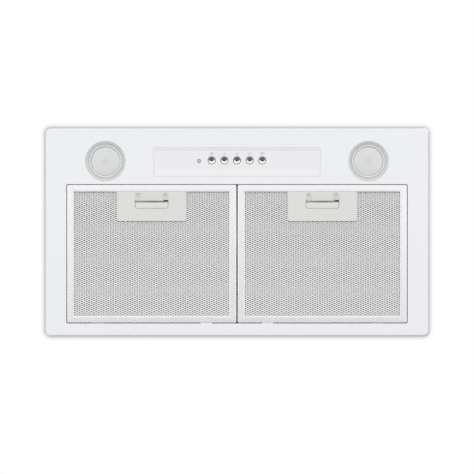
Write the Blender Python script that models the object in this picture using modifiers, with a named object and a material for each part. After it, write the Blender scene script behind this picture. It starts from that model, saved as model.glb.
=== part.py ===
"""Built-in range hood, 492 mm wide: a face with two filters, a blower above it and a duct collar.

Metres, +Z up. Z = 0 is the underside of the face, -Y is the front with the controls, and the
origin is the middle of the face. Sides are named for +X (right) and -X (left).
"""
import math

import bmesh
import bpy
from mathutils import Matrix, Vector

MM = 0.001
GAP = 0.3 * MM  # between pieces that touch

# Face
FACE_W = 492 * MM
FACE_D = 267 * MM
FACE_CORNER = 7 * MM
FACE_BEND = 5 * MM
RIM_H = 14 * MM
SHEET = 1 * MM
SEAT_W = 10.5 * MM  # flange that the cabinet board rests on

# Filter opening and filters
OPEN_X = 219.3 * MM
OPEN_FRONT = -61.9 * MM
OPEN_REAR = 117.8 * MM
FILTER_IN = 0.75 * MM  # half of the gap between the filters
FILTER_OUT = 218.0 * MM
FILTER_FRONT = -60.6 * MM
FILTER_REAR = 116.5 * MM
FILTER_LOW = 0.9 * MM
FILTER_HIGH = 9.0 * MM
FILTER_BAR = 9.2 * MM
FILTER_PIVOT = Vector((0, 117.2 * MM, 1.3 * MM))
TAB_TIP = 120.2 * MM

# Filter handle and latch
HANDLE_W = 88.4 * MM
HANDLE_FRONT = -51.1 * MM
HANDLE_REAR = -13.9 * MM
POCKET_W = 42.8 * MM
POCKET_FRONT = -50.0 * MM
SLOT_FRONT = -40.2 * MM
TAB_FRONT = -37.4 * MM
POCKET_REAR = -30.0 * MM
LATCH_TRAVEL = 5 * MM
LATCH_REAR = -28.8 * MM
TONGUE_TIP = -61.4 * MM

# Controls
FASCIA_W = 213.4 * MM
FASCIA_D = 37.1 * MM
FASCIA_Y = -89.4 * MM
FASCIA_FACE = 1.5 * MM
BUTTON_R = 4.5 * MM
BUTTON_PITCH = 16.2 * MM
BUTTON_Y = -91.9 * MM
BUTTON_TRAVEL = 2.5 * MM
BUTTON_BACK = 4.6 * MM  # height of the cap's back, above the face
BUTTON_NAMES = ("button_stop", "button_speed_1", "button_speed_2", "button_speed_3", "button_lamp")
LENS_X = -48.6 * MM
LENS_Y = -91.0 * MM

# Lamps
LAMP_X = 168.4 * MM
LAMP_Y = -90.7 * MM
LAMP_HOLE_R = 26.0 * MM

# Housing
HOUSE_W = 458 * MM
HOUSE_D = 244 * MM
HOUSE_LOW = 1.3 * MM
HOUSE_TOP = 171 * MM
PARTITION_Y = -63.3 * MM
DECK_Z = 55 * MM
FOOT_W = 7 * MM
BRACKET_LOW = 32.3 * MM  # the cabinet board lies between the face's flange and this
SLOT_R = 2.5 * MM

# Blower
FAN_Y = 8 * MM
FAN_Z = 88 * MM
SCROLL_R0 = 60 * MM
SCROLL_R1 = 78 * MM
SCROLL_HALF_W = 62 * MM
SCROLL_WALL = 1.5 * MM
TONGUE_ANGLE = math.radians(80)
IMPELLER_R = 54 * MM
IMPELLER_IN = 27 * MM
IMPELLER_OUT = 58 * MM
BLADES = 18
MOTOR_R = 38 * MM
MOTOR_HALF = 24 * MM
SHAFT_R = 4 * MM

# Outlet
COLLAR_Y = 47 * MM
COLLAR_R = 59.5 * MM
COLLAR_WALL = 2 * MM
COLLAR_TOP = 205 * MM
DAMPER_Z = 180 * MM
FLAP_R = 56.2 * MM
PIN_R = 1.2 * MM

for old in list(bpy.data.objects):
    bpy.data.objects.remove(old, do_unlink=True)

hood = bpy.data.collections.new("range_hood")
cutters = bpy.data.collections.new("cutters")
bpy.context.scene.collection.children.link(hood)
bpy.context.scene.collection.children.link(cutters)

FINISHES = {
    # name: colour, roughness, metallic
    "white_enamel": ((0.86, 0.87, 0.89), 0.30, 0.0),
    "white_plastic": ((0.82, 0.82, 0.84), 0.38, 0.0),
    "handle_plastic": ((0.70, 0.70, 0.68), 0.45, 0.0),
    "chrome": ((0.85, 0.85, 0.86), 0.12, 1.0),
    "aluminium": ((0.72, 0.73, 0.74), 0.32, 1.0),
    "galvanised": ((0.62, 0.64, 0.66), 0.42, 1.0),
    "frosted_glass": ((0.80, 0.82, 0.82), 0.35, 0.0),
    "black_plastic": ((0.03, 0.03, 0.032), 0.45, 0.0),
    "grey_plastic": ((0.40, 0.41, 0.42), 0.50, 0.0),
    "pilot_lens": ((0.60, 0.60, 0.62), 0.25, 0.0),
    "cable_grey": ((0.22, 0.22, 0.23), 0.55, 0.0),
}


def make_finish(name):
    colour, roughness, metallic = FINISHES[name]
    finish = bpy.data.materials.new(name)
    finish.use_nodes = True
    shader = finish.node_tree.nodes["Principled BSDF"]
    shader.inputs["Base Color"].default_value = (*colour, 1)
    shader.inputs["Roughness"].default_value = roughness
    shader.inputs["Metallic"].default_value = metallic
    finish.diffuse_color = (*colour, 1)
    return finish


finishes = {name: make_finish(name) for name in FINISHES}


# Making and joining shapes

def add_object(name, mesh, location=(0, 0, 0), finish=None):
    """A new object: a part when it has a finish, a cutter when it has none."""
    item = bpy.data.objects.new(name, mesh)
    item.location = location
    if finish:
        hood.objects.link(item)
        mesh.materials.append(finishes[finish])
    else:
        cutters.objects.link(item)
        item.hide_render = True
        item.display_type = "WIRE"
    return item


def box(name, low, high, finish=None):
    low, high = Vector(low), Vector(high)
    size = high - low
    shape = bmesh.new()
    bmesh.ops.create_cube(shape, size=1, matrix=Matrix.Diagonal((*size, 1)))
    mesh = bpy.data.meshes.new(name)
    shape.to_mesh(mesh)
    shape.free()
    return add_object(name, mesh, (low + high) / 2, finish)


def flared_box(name, low, high, flare):
    """A cutter box whose lower face is wider by flare on each side."""
    item = box(name, low, high)
    for vertex in item.data.vertices:
        if vertex.co.z < 0:
            vertex.co.x += math.copysign(flare, vertex.co.x)
            vertex.co.y += math.copysign(flare, vertex.co.y)
    return item


def rounded_box(name, low, high, corner, bend, finish=None, steps=3):
    """A box with rounded upright edges and a rounded lower edge."""
    item = box(name, low, high, finish)
    shape = bmesh.new()
    shape.from_mesh(item.data)
    upright = [e for e in shape.edges if abs(e.verts[0].co.z - e.verts[1].co.z) > 1e-6]
    bmesh.ops.bevel(
        shape, geom=upright, offset=corner, segments=steps, profile=0.5, affect="EDGES"
    )
    if bend:
        floor = min(v.co.z for v in shape.verts)
        lower = [e for e in shape.edges if all(abs(v.co.z - floor) < 1e-6 for v in e.verts)]
        bmesh.ops.bevel(
            shape, geom=lower, offset=bend, segments=steps, profile=0.5, affect="EDGES"
        )
    shape.to_mesh(item.data)
    shape.free()
    return item


AXIS_TURN = {"X": (0, math.pi / 2, 0), "Y": (-math.pi / 2, 0, 0), "Z": (0, 0, 0)}


def cylinder(name, centre, radius, length, axis="Z", finish=None, sides=24):
    shape = bmesh.new()
    bmesh.ops.create_cone(
        shape, cap_ends=True, segments=sides, radius1=radius, radius2=radius, depth=length
    )
    mesh = bpy.data.meshes.new(name)
    shape.to_mesh(mesh)
    shape.free()
    mesh.shade_smooth()
    mesh.set_sharp_from_angle(angle=math.radians(40))
    item = add_object(name, mesh, centre, finish)
    item.rotation_euler = AXIS_TURN[axis]
    return item


def turned(name, profile, location, axis="Z", finish=None, sides=32):
    """A closed profile of (radius, height) points, outer side first and downwards, turned."""
    mesh = bpy.data.meshes.new(name)
    points = [(radius, 0, height) for radius, height in profile]
    on_axis = profile[0][0] == 0 and profile[-1][0] == 0
    edges = [(i, i + 1) for i in range(len(points) - 1)]
    if not on_axis:
        edges.append((len(points) - 1, 0))
    mesh.from_pydata(points, edges, [])
    item = add_object(name, mesh, location, finish)
    item.rotation_euler = AXIS_TURN[axis]
    screw = item.modifiers.new("turn", "SCREW")
    screw.axis = "Z"
    screw.steps = sides
    screw.render_steps = sides
    screw.use_merge_vertices = True
    screw.merge_threshold = 0.00001
    screw.use_smooth_shade = True
    return item


def mesh_from_curve(curve, name, location, rotation, finish):
    """The curve as a mesh with its caps welded; the curve object is removed."""
    guide = bpy.data.objects.new(name + "_guide", curve)
    cutters.objects.link(guide)
    depsgraph = bpy.context.evaluated_depsgraph_get()
    mesh = bpy.data.meshes.new_from_object(guide.evaluated_get(depsgraph))
    bpy.data.objects.remove(guide)
    shape = bmesh.new()
    shape.from_mesh(mesh)
    bmesh.ops.remove_doubles(shape, verts=shape.verts, dist=0.00001)
    bmesh.ops.recalc_face_normals(shape, faces=shape.faces)
    shape.to_mesh(mesh)
    shape.free()
    mesh.materials.clear()
    item = add_object(name, mesh, location, finish)
    item.rotation_euler = rotation
    return item


def plate(name, points, thickness, location=(0, 0, 0), rotation=(0, 0, 0), finish=None):
    """A flat outline in local XY, as thick as asked, centred on its own plane."""
    curve = bpy.data.curves.new(name, "CURVE")
    curve.dimensions = "2D"
    curve.fill_mode = "BOTH"
    curve.extrude = thickness / 2
    spline = curve.splines.new("POLY")
    spline.points.add(len(points) - 1)
    for point, (x, y) in zip(spline.points, points):
        point.co = (x, y, 0, 1)
    spline.use_cyclic_u = True
    return mesh_from_curve(curve, name, location, rotation, finish)


# Turns local X, Y, Z into world Y, Z, X: for outlines drawn in the fan's plane
FAN_PLANE = (math.pi / 2, 0, math.pi / 2)


def wire(name, route, diameter, finish, points_per_leg=8):
    """A lead along a smooth curve through the route's own points."""
    route = [Vector(point) for point in route]
    ends = [2 * route[0] - route[1], *route, 2 * route[-1] - route[-2]]
    path = []
    for i in range(1, len(ends) - 2):
        before, start, stop, after = ends[i - 1:i + 3]
        for step in range(points_per_leg):
            t = step / points_per_leg
            path.append(0.5 * (
                2 * start + (stop - before) * t
                + (2 * before - 5 * start + 4 * stop - after) * t ** 2
                + (3 * start - before - 3 * stop + after) * t ** 3
            ))
    path.append(route[-1])
    curve = bpy.data.curves.new(name, "CURVE")
    curve.dimensions = "3D"
    curve.bevel_depth = diameter / 2
    curve.bevel_resolution = 1
    curve.use_fill_caps = True
    spline = curve.splines.new("POLY")
    spline.points.add(len(path) - 1)
    for point, place in zip(spline.points, path):
        point.co = (*place, 1)
    return mesh_from_curve(curve, name, (0, 0, 0), (0, 0, 0), finish)


def combine(target, tool, operation):
    modifier = target.modifiers.new(operation.lower(), "BOOLEAN")
    modifier.operation = operation
    modifier.solver = "EXACT"
    modifier.object = tool


def cut(target, tool):
    combine(target, tool, "DIFFERENCE")


def join(target, tool):
    combine(target, tool, "UNION")


def ring_of_boxes(name, count, size, radius, angle, centre):
    """Separate boxes round the X axis through centre, each turned by angle about its own middle."""
    shape = bmesh.new()
    for i in range(count):
        around = Matrix.Rotation(2 * math.pi * i / count, 4, "X")
        lean = Matrix.Rotation(angle, 4, "X")
        place = around @ Matrix.Translation((0, 0, radius)) @ lean
        bmesh.ops.create_cube(shape, size=1, matrix=place @ Matrix.Diagonal((*size, 1)))
    mesh = bpy.data.meshes.new(name)
    shape.to_mesh(mesh)
    shape.free()
    return add_object(name, mesh, centre)


def pivot(name, location):
    """An empty on a joint's axis, for the pieces that move about it."""
    empty = bpy.data.objects.new(name, None)
    empty.location = location
    empty.empty_display_size = 0.02
    hood.objects.link(empty)
    return empty


def hang(item, empty):
    """Parents item to the empty, where it already is."""
    item.parent = empty
    item.matrix_parent_inverse = Matrix.Translation(empty.location).inverted()


def both_sides():
    return (("left", -1), ("right", 1))


# Face: a folded steel pan

def make_bezel():
    bezel = rounded_box(
        "bezel", (-FACE_W / 2, -FACE_D / 2, 0), (FACE_W / 2, FACE_D / 2, RIM_H),
        FACE_CORNER, FACE_BEND, "white_enamel", 4
    )
    hollow = rounded_box(
        "bezel_hollow",
        (-FACE_W / 2 + SHEET, -FACE_D / 2 + SHEET, SHEET),
        (FACE_W / 2 - SHEET, FACE_D / 2 - SHEET, RIM_H - SHEET),
        FACE_CORNER - SHEET, FACE_BEND - SHEET, None, 4
    )
    mouth = box(
        "bezel_mouth",
        (-FACE_W / 2 + SEAT_W, -FACE_D / 2 + SEAT_W, RIM_H - 3 * SHEET),
        (FACE_W / 2 - SEAT_W, FACE_D / 2 - SEAT_W, RIM_H + SHEET)
    )
    filters = box(
        "bezel_filter_opening", (-OPEN_X, OPEN_FRONT, -SHEET), (OPEN_X, OPEN_REAR, 3 * SHEET)
    )
    controls = box(
        "bezel_fascia_opening",
        (-FASCIA_W / 2, FASCIA_Y - FASCIA_D / 2, -SHEET),
        (FASCIA_W / 2, FASCIA_Y + FASCIA_D / 2, 3 * SHEET)
    )
    for tool in (hollow, mouth, filters, controls):
        cut(bezel, tool)
    for side, sign in both_sides():
        cut(bezel, cylinder(
            "bezel_lamp_hole_" + side, (sign * LAMP_X, LAMP_Y, SHEET / 2),
            LAMP_HOLE_R, 4 * SHEET, sides=32
        ))


# Controls

def make_controls():
    half_w = FASCIA_W / 2 - GAP
    half_d = FASCIA_D / 2 - GAP
    flange = 4 * MM
    fascia = box(
        "control_fascia",
        (-half_w - flange, FASCIA_Y - half_d - flange, SHEET + GAP),
        (half_w + flange, FASCIA_Y + half_d + flange, FASCIA_FACE + 2 * MM), "white_plastic"
    )
    join(fascia, box(
        "fascia_front", (-half_w, FASCIA_Y - half_d, GAP), (half_w, FASCIA_Y + half_d, 2 * MM)
    ))
    border = 4 * MM  # sloped border: 1 mm flat, then down to the face
    cut(fascia, flared_box(
        "fascia_recess", (-half_w + border, FASCIA_Y - half_d + border, -FASCIA_FACE),
        (half_w - border, FASCIA_Y + half_d - border, FASCIA_FACE), 6 * MM
    ))

    block_low = BUTTON_BACK + BUTTON_TRAVEL + 0.9 * MM
    block = box(
        "switch_block", (-56 * MM, -104 * MM, block_low), (44 * MM, -80 * MM, 20 * MM),
        "black_plastic"
    )
    for number, name in enumerate(BUTTON_NAMES):
        x = (number - 2) * BUTTON_PITCH
        cut(fascia, cylinder(
            name + "_hole", (x, BUTTON_Y, 2 * MM), BUTTON_R + GAP, 8 * MM, sides=24
        ))
        cut(block, cylinder(
            name + "_well", (x, BUTTON_Y, block_low + 4 * MM), 2.4 * MM, 9 * MM, sides=12
        ))
        stem_top = block_low + 5 * MM
        button = turned(
            name,
            [(0, stem_top), (2.0 * MM, stem_top), (2.0 * MM, BUTTON_BACK), (BUTTON_R, BUTTON_BACK),
             (BUTTON_R, 0.8 * MM), (BUTTON_R - 0.5 * MM, 0.3 * MM), (0, 0.3 * MM)],
            (0, 0, 0), "Z", "chrome", 16
        )
        slide = pivot(name + "_slide", (x, BUTTON_Y, 0))
        button.location = slide.location
        hang(button, slide)

    lens_top = 6.0 * MM
    cut(fascia, cylinder("lens_hole", (LENS_X, LENS_Y, 2 * MM), 2.5 * MM, 8 * MM, sides=16))
    turned(
        "indicator_lens",
        [(0, lens_top), (2.2 * MM, lens_top), (2.2 * MM, 1.1 * MM), (1.4 * MM, 0.6 * MM),
         (0, 0.5 * MM)],
        (LENS_X, LENS_Y, 0), "Z", "pilot_lens", 16
    )


# Lamps

def make_lamp(side, sign):
    place = (sign * LAMP_X, LAMP_Y, 0)
    turned(
        "lamp_bezel_" + side,
        [(22.9 * MM, 16 * MM), (22.9 * MM, 2.8 * MM), (27 * MM, 2.8 * MM), (27 * MM, 1.3 * MM),
         (25.7 * MM, 1.3 * MM), (25.7 * MM, 0.3 * MM), (25.0 * MM, 0.3 * MM),
         (21.4 * MM, 3.6 * MM), (21.4 * MM, 16 * MM)],
        place, "Z", "white_plastic", 32
    )
    turned(
        "lamp_ring_" + side,
        [(21.1 * MM, 6.5 * MM), (21.1 * MM, 3.0 * MM), (20.3 * MM, 2.2 * MM),
         (19.6 * MM, 2.2 * MM), (18.6 * MM, 3.2 * MM), (18.6 * MM, 6.5 * MM)],
        place, "Z", "chrome", 28
    )
    turned(
        "lamp_glass_" + side,
        [(0, 6.2 * MM), (18.3 * MM, 6.2 * MM), (18.3 * MM, 3.8 * MM), (15.0 * MM, 3.0 * MM),
         (8.0 * MM, 2.7 * MM), (0, 2.6 * MM)],
        place, "Z", "frosted_glass", 28
    )
    turned(
        "lamp_holder_" + side,
        [(0, 34 * MM), (9 * MM, 34 * MM), (9 * MM, 26 * MM), (16 * MM, 20 * MM),
         (21.0 * MM, 15 * MM), (21.0 * MM, 7.0 * MM), (19.5 * MM, 7.0 * MM),
         (19.5 * MM, 14 * MM), (14.5 * MM, 19 * MM), (0, 19 * MM)],
        place, "Z", "grey_plastic", 20
    )


# Filters

def make_filter(side, sign):
    hinge = pivot("filter_hinge_" + side, FILTER_PIVOT)
    middle = sign * (FILTER_IN + FILTER_OUT) / 2
    half = (FILTER_OUT - FILTER_IN) / 2
    light_x = half - FILTER_BAR
    front = FILTER_FRONT + FILTER_BAR
    rear = FILTER_REAR - FILTER_BAR
    layer_in = 3 * MM  # how far the layers reach into the frame's channel

    def span(x, y0, y1, z0, z1):
        return (middle - x, y0, z0), (middle + x, y1, z1)

    frame = box(
        "filter_frame_" + side, *span(half, FILTER_FRONT, FILTER_REAR, FILTER_LOW, FILTER_HIGH),
        "aluminium"
    )
    for tab_side, tab_sign in both_sides():
        x = middle + tab_sign * 70 * MM
        join(frame, box(
            "filter_tab_" + side + "_" + tab_side,
            (x - 7 * MM, rear + 2 * MM, FILTER_PIVOT.z), (x + 7 * MM, TAB_TIP, 2.5 * MM)
        ))
    cut(frame, box(
        "filter_light_" + side, *span(light_x, front, rear, -MM, FILTER_HIGH + MM)
    ))
    cut(frame, box(
        "filter_channel_" + side,
        *span(light_x + layer_in + GAP, front - layer_in - GAP, rear + layer_in + GAP,
              1.9 * MM, 8.2 * MM)
    ))
    tongue_way = box(
        "tongue_way_" + side,
        (middle - 5.5 * MM, FILTER_FRONT - MM, 4.7 * MM),
        (middle + 5.5 * MM, TAB_FRONT + MM, 6.9 * MM)
    )
    cut(frame, tongue_way)

    notch = box(
        "handle_notch_" + side,
        *span(HANDLE_W / 2 + GAP, FILTER_FRONT, HANDLE_REAR + GAP, 0, 2 * FILTER_HIGH)
    )
    layers = (
        ("filter_face_", 2.2 * MM, 3.2 * MM), ("filter_core_", 3.5 * MM, 6.6 * MM),
        ("filter_back_", 6.9 * MM, 7.9 * MM),
    )
    pieces = [frame]
    for name, z0, z1 in layers:
        layer = box(
            name + side,
            *span(light_x + layer_in, front - layer_in, rear + layer_in, z0, z1), "aluminium"
        )
        cut(layer, notch)
        pieces.append(layer)

    handle = box(
        "filter_handle_" + side,
        *span(HANDLE_W / 2, HANDLE_FRONT, HANDLE_REAR, 1.1 * MM, 8.2 * MM), "handle_plastic"
    )
    window = box(
        "handle_window_" + side,
        *span(POCKET_W / 2, SLOT_FRONT, POCKET_REAR, 0, 4 * MM)
    )
    ramp = box(
        "handle_ramp_" + side, *span(POCKET_W / 2, POCKET_FRONT, TAB_FRONT - MM, 0, 5.2 * MM)
    )
    for vertex in ramp.data.vertices:
        if vertex.co.z > 0 and vertex.co.y < 0:
            vertex.co.z -= 3.6 * MM
    cavity = box(
        "handle_cavity_" + side,
        *span(POCKET_W / 2 + 1.5 * MM, SLOT_FRONT, LATCH_REAR + LATCH_TRAVEL + GAP,
              2.3 * MM, 6.9 * MM)
    )
    for tool in (window, ramp, cavity, tongue_way):
        cut(handle, tool)
    pieces.append(handle)
    for piece in pieces:
        hang(piece, hinge)

    slide = pivot("latch_slide_" + side, (middle, TAB_FRONT, 3.4 * MM))
    latch = box(
        "filter_latch_" + side,
        *span(POCKET_W / 2 - 0.6 * MM, TAB_FRONT, LATCH_REAR, 2.6 * MM, 4.0 * MM), "handle_plastic"
    )
    join(latch, box(
        "latch_lip_" + side, *span(POCKET_W / 2 - 0.6 * MM, TAB_FRONT, -35.4 * MM, 3 * MM, 6.3 * MM)
    ))
    join(latch, box(
        "latch_tongue_" + side, *span(5 * MM, TONGUE_TIP, -36 * MM, 5.1 * MM, 6.3 * MM)
    ))
    hang(latch, slide)
    hang(slide, hinge)


# Housing

def make_housing():
    half_w = HOUSE_W / 2
    half_d = HOUSE_D / 2
    wall = SHEET
    top = HOUSE_TOP - wall - GAP
    service_top = DECK_Z + wall
    for name, sign in (("front", -1), ("rear", 1)):
        inner, outer = sorted((sign * (half_d - wall), sign * half_d))
        panel = box(
            "housing_" + name, (-half_w, inner, HOUSE_LOW), (half_w, outer, top), "galvanised"
        )
        edge = sorted((sign * (half_d - wall / 2), sign * (half_d + FOOT_W)))
        join(panel, box(
            "foot_" + name, (-half_w + 20 * MM, edge[0], HOUSE_LOW),
            (half_w - 20 * MM, edge[1], HOUSE_LOW + wall)
        ))
    for side, sign in both_sides():
        inner, outer = sorted((sign * (half_w - wall), sign * half_w))
        panel = box(
            "housing_" + side, (inner, -half_d + wall + GAP, HOUSE_LOW),
            (outer, half_d - wall - GAP, top), "galvanised"
        )
        edge = sorted((sign * (half_w - wall / 2), sign * (half_w + FOOT_W)))
        join(panel, box(
            "foot_" + side, (edge[0], -half_d + 20 * MM, HOUSE_LOW),
            (edge[1], half_d - 20 * MM, HOUSE_LOW + wall)
        ))
    lid = box(
        "housing_top", (-half_w, -half_d, HOUSE_TOP - wall), (half_w, half_d, HOUSE_TOP),
        "galvanised"
    )
    cut(lid, box(
        "outlet_hole", (-54 * MM, FAN_Y + 12 * MM, HOUSE_TOP - 4 * MM),
        (54 * MM, FAN_Y + SCROLL_R1 - 2 * MM, HOUSE_TOP + 4 * MM)
    ))
    cut(lid, cylinder("supply_hole", (-150 * MM, -82 * MM, HOUSE_TOP), 5 * MM, 8 * MM, sides=16))

    partition = box(
        "service_partition", (-half_w + wall + GAP, PARTITION_Y, HOUSE_LOW),
        (half_w - wall - GAP, PARTITION_Y + wall, service_top), "galvanised"
    )
    join(partition, box(
        "service_deck", (-half_w + wall + GAP, -half_d + wall + GAP, DECK_Z),
        (half_w - wall - GAP, PARTITION_Y + wall / 2, service_top)
    ))
    for side, sign in both_sides():
        middle = sign * (FILTER_IN + FILTER_OUT) / 2
        cut(partition, box(
            "catch_slot_" + side, (middle - 7 * MM, PARTITION_Y - wall, 4.4 * MM),
            (middle + 7 * MM, PARTITION_Y + 2 * wall, 7.2 * MM)
        ))
    for name, x in (("motor", 20 * MM), ("supply", -150 * MM)):
        cut(partition, cylinder(
            name + "_lead_hole", (x, -90 * MM, DECK_Z + wall / 2), 5 * MM, 8 * MM, sides=16
        ))

    for side, sign in both_sides():
        leaf = sorted((sign * (half_w + GAP), sign * (half_w + 1.8 * MM)))
        bracket = box(
            "fixing_bracket_" + side, (leaf[0], -22 * MM, BRACKET_LOW), (leaf[1], 22 * MM, 72 * MM),
            "galvanised"
        )
        foot = sorted((sign * (half_w + 1.0 * MM), sign * (FACE_W / 2 - MM)))
        join(bracket, box(
            "bracket_foot_" + side, (foot[0], -22 * MM, BRACKET_LOW),
            (foot[1], 22 * MM, BRACKET_LOW + 1.5 * MM)
        ))
        slot_x = sign * (half_w + 9.5 * MM)
        cut(bracket, box(
            "bracket_slot_" + side, (slot_x - SLOT_R, -12 * MM, 30 * MM),
            (slot_x + SLOT_R, 12 * MM, 36 * MM)
        ))


# Blower

def scroll_outline(inset, top):
    """Spiral that grows from the tongue to the outlet, then two walls straight up."""
    steps = 20
    points = []
    for i in range(steps + 1):
        angle = TONGUE_ANGLE + (2 * math.pi - TONGUE_ANGLE) * i / steps
        radius = SCROLL_R0 + (SCROLL_R1 - SCROLL_R0) * i / steps - inset
        points.append((FAN_Y + radius * math.cos(angle), FAN_Z + radius * math.sin(angle)))
    points.append((FAN_Y + SCROLL_R1 - inset, top))
    points.append((FAN_Y + SCROLL_R0 * math.cos(TONGUE_ANGLE) + inset, top))
    return points


def make_blower():
    outlet_top = HOUSE_TOP - SHEET - GAP
    split = 1.3 * MM  # half of the space for the motor plate
    shaft_y_z = (FAN_Y, FAN_Z)
    for side, sign in both_sides():
        middle = sign * (split + SCROLL_HALF_W) / 2
        half = plate(
            "scroll_" + side, scroll_outline(0, outlet_top), SCROLL_HALF_W - split,
            (middle, 0, 0), FAN_PLANE, "galvanised"
        )
        cut(half, plate(
            "scroll_hollow_" + side, scroll_outline(SCROLL_WALL, outlet_top + 5 * MM),
            SCROLL_HALF_W - split, (middle - sign * SCROLL_WALL, 0, 0), FAN_PLANE
        ))
        cut(half, cylinder(
            "scroll_eye_" + side, (sign * SCROLL_HALF_W, *shaft_y_z), 45.2 * MM, 12 * MM, "X",
            sides=36
        ))
        outer = SCROLL_HALF_W + GAP
        ring = [
            (52 * MM, outer + 1.2 * MM), (52 * MM, outer), (44.6 * MM, outer),
            (44.6 * MM, IMPELLER_OUT + 1 * MM), (43.4 * MM, IMPELLER_OUT + 1 * MM),
            (43.4 * MM, outer), (44.4 * MM, outer + 1.2 * MM)
        ]
        drum = [
            (IMPELLER_R, IMPELLER_OUT), (IMPELLER_R, IMPELLER_IN),
            (SHAFT_R + GAP, IMPELLER_IN), (SHAFT_R + GAP, IMPELLER_IN + 14 * MM),
            (9 * MM, IMPELLER_IN + 14 * MM), (9 * MM, IMPELLER_IN + 1.5 * MM),
            (47 * MM, IMPELLER_IN + 1.5 * MM), (47 * MM, IMPELLER_OUT)
        ]
        inlet = turned("inlet_ring_" + side, ring, (0, *shaft_y_z), "X", "galvanised", 28)
        impeller = turned("impeller_" + side, drum, (0, *shaft_y_z), "X", "black_plastic", 36)
        if sign < 0:
            for item in (inlet, impeller):
                item.rotation_euler = (0, -math.pi / 2, 0)
        gaps = ring_of_boxes(
            "blade_gaps_" + side, BLADES, (IMPELLER_OUT - IMPELLER_IN - 6 * MM, 9 * MM, 14 * MM),
            (IMPELLER_R + 47 * MM) / 2, math.radians(-30),
            (sign * (IMPELLER_IN + IMPELLER_OUT) / 2, *shaft_y_z)
        )
        cut(impeller, gaps)
        hang(impeller, rotor_pivot)

    shaft = cylinder(
        "fan_shaft", (0, *shaft_y_z), SHAFT_R, 2 * IMPELLER_OUT - 4 * MM, "X", "chrome", 20
    )
    hang(shaft, rotor_pivot)
    turned(
        "motor_body",
        [(12 * MM, MOTOR_HALF), (30 * MM, MOTOR_HALF), (MOTOR_R, 16 * MM), (MOTOR_R, -16 * MM),
         (30 * MM, -MOTOR_HALF), (12 * MM, -MOTOR_HALF), (SHAFT_R + GAP, -MOTOR_HALF),
         (SHAFT_R + GAP, MOTOR_HALF)],
        (0, *shaft_y_z), "X", "aluminium", 28
    )
    shelf = plate(
        "motor_plate", scroll_outline(0, outlet_top), 2 * MM, (0, 0, 0), FAN_PLANE, "galvanised"
    )
    cut(shelf, box(
        "plate_trim", (-5 * MM, -90 * MM, FAN_Z + SCROLL_R0 - 8 * MM), (5 * MM, 120 * MM, 200 * MM)
    ))
    cut(shelf, cylinder(
        "motor_seat", (0, *shaft_y_z), MOTOR_R + GAP, 12 * MM, "X", sides=36
    ))
    cylinder(
        "capacitor", (-120 * MM, 95 * MM, outlet_top - 16 * MM), 15 * MM, 60 * MM, "X",
        "white_plastic", 24
    )


# Outlet collar and its two flaps

def half_moon(radius, chord, sign, steps=16):
    """A disc's outline on one side of a chord, in local XY about the pin's middle."""
    first = math.asin(chord / radius)
    sweep = math.pi - 2 * first
    points = []
    for i in range(steps + 1):
        angle = first + sweep * i / steps
        points.append((radius * math.cos(angle), sign * radius * math.sin(angle)))
    return points


def make_outlet():
    base = HOUSE_TOP + GAP
    inner = COLLAR_R - COLLAR_WALL
    middle = (0, COLLAR_Y, 0)
    collar = turned(
        "outlet_collar",
        [(COLLAR_R, COLLAR_TOP), (COLLAR_R, base), (54.5 * MM, base),
         (54.5 * MM, DAMPER_Z - 0.8 * MM), (inner, DAMPER_Z - 0.8 * MM), (inner, COLLAR_TOP)],
        middle, "Z", "black_plastic", 36
    )
    foot = box(
        "collar_foot", (-67 * MM, COLLAR_Y - 67 * MM, base),
        (67 * MM, COLLAR_Y + 67 * MM, base + 2.5 * MM)
    )
    foot_hole = cylinder("collar_foot_hole", (0, COLLAR_Y, base), 56 * MM, 20 * MM, sides=36)
    cut(foot, foot_hole)
    join(collar, foot)
    cut(collar, cylinder(
        "pin_hole", (0, COLLAR_Y, DAMPER_Z), PIN_R + GAP, 130 * MM, "X", sides=12
    ))
    cylinder(
        "damper_pin", (0, COLLAR_Y, DAMPER_Z), PIN_R, 2 * COLLAR_R, "X", "galvanised", 12
    )
    knuckle_r = 2.6 * MM
    chord = 3.0 * MM
    for name, sign, spans in (
        ("front", -1, ((-50 * MM, -26 * MM), (1 * MM, 25 * MM))),
        ("rear", 1, ((-25 * MM, -1 * MM), (26 * MM, 50 * MM))),
    ):
        hinge = pivot("damper_hinge_" + name, (0, COLLAR_Y, DAMPER_Z))
        flap = plate(
            "damper_flap_" + name, half_moon(FLAP_R, chord, sign), 1 * MM,
            (0, COLLAR_Y, DAMPER_Z), (0, 0, 0), "black_plastic"
        )
        for number, (x0, x1) in enumerate(spans):
            label = name + "_" + str(number)
            web = sorted((COLLAR_Y, COLLAR_Y + sign * (chord + MM)))
            join(flap, box(
                "flap_web_" + label, (x0, web[0], DAMPER_Z - 0.45 * MM),
                (x1, web[1], DAMPER_Z + 0.45 * MM)
            ))
            join(flap, cylinder(
                "flap_knuckle_" + label, ((x0 + x1) / 2, COLLAR_Y, DAMPER_Z),
                knuckle_r, x1 - x0, "X", sides=12
            ))
        cut(flap, cylinder(
            "flap_bore_" + name, (0, COLLAR_Y, DAMPER_Z), PIN_R + GAP, 110 * MM, "X", sides=12
        ))
        hang(flap, hinge)


# Wiring

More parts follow.
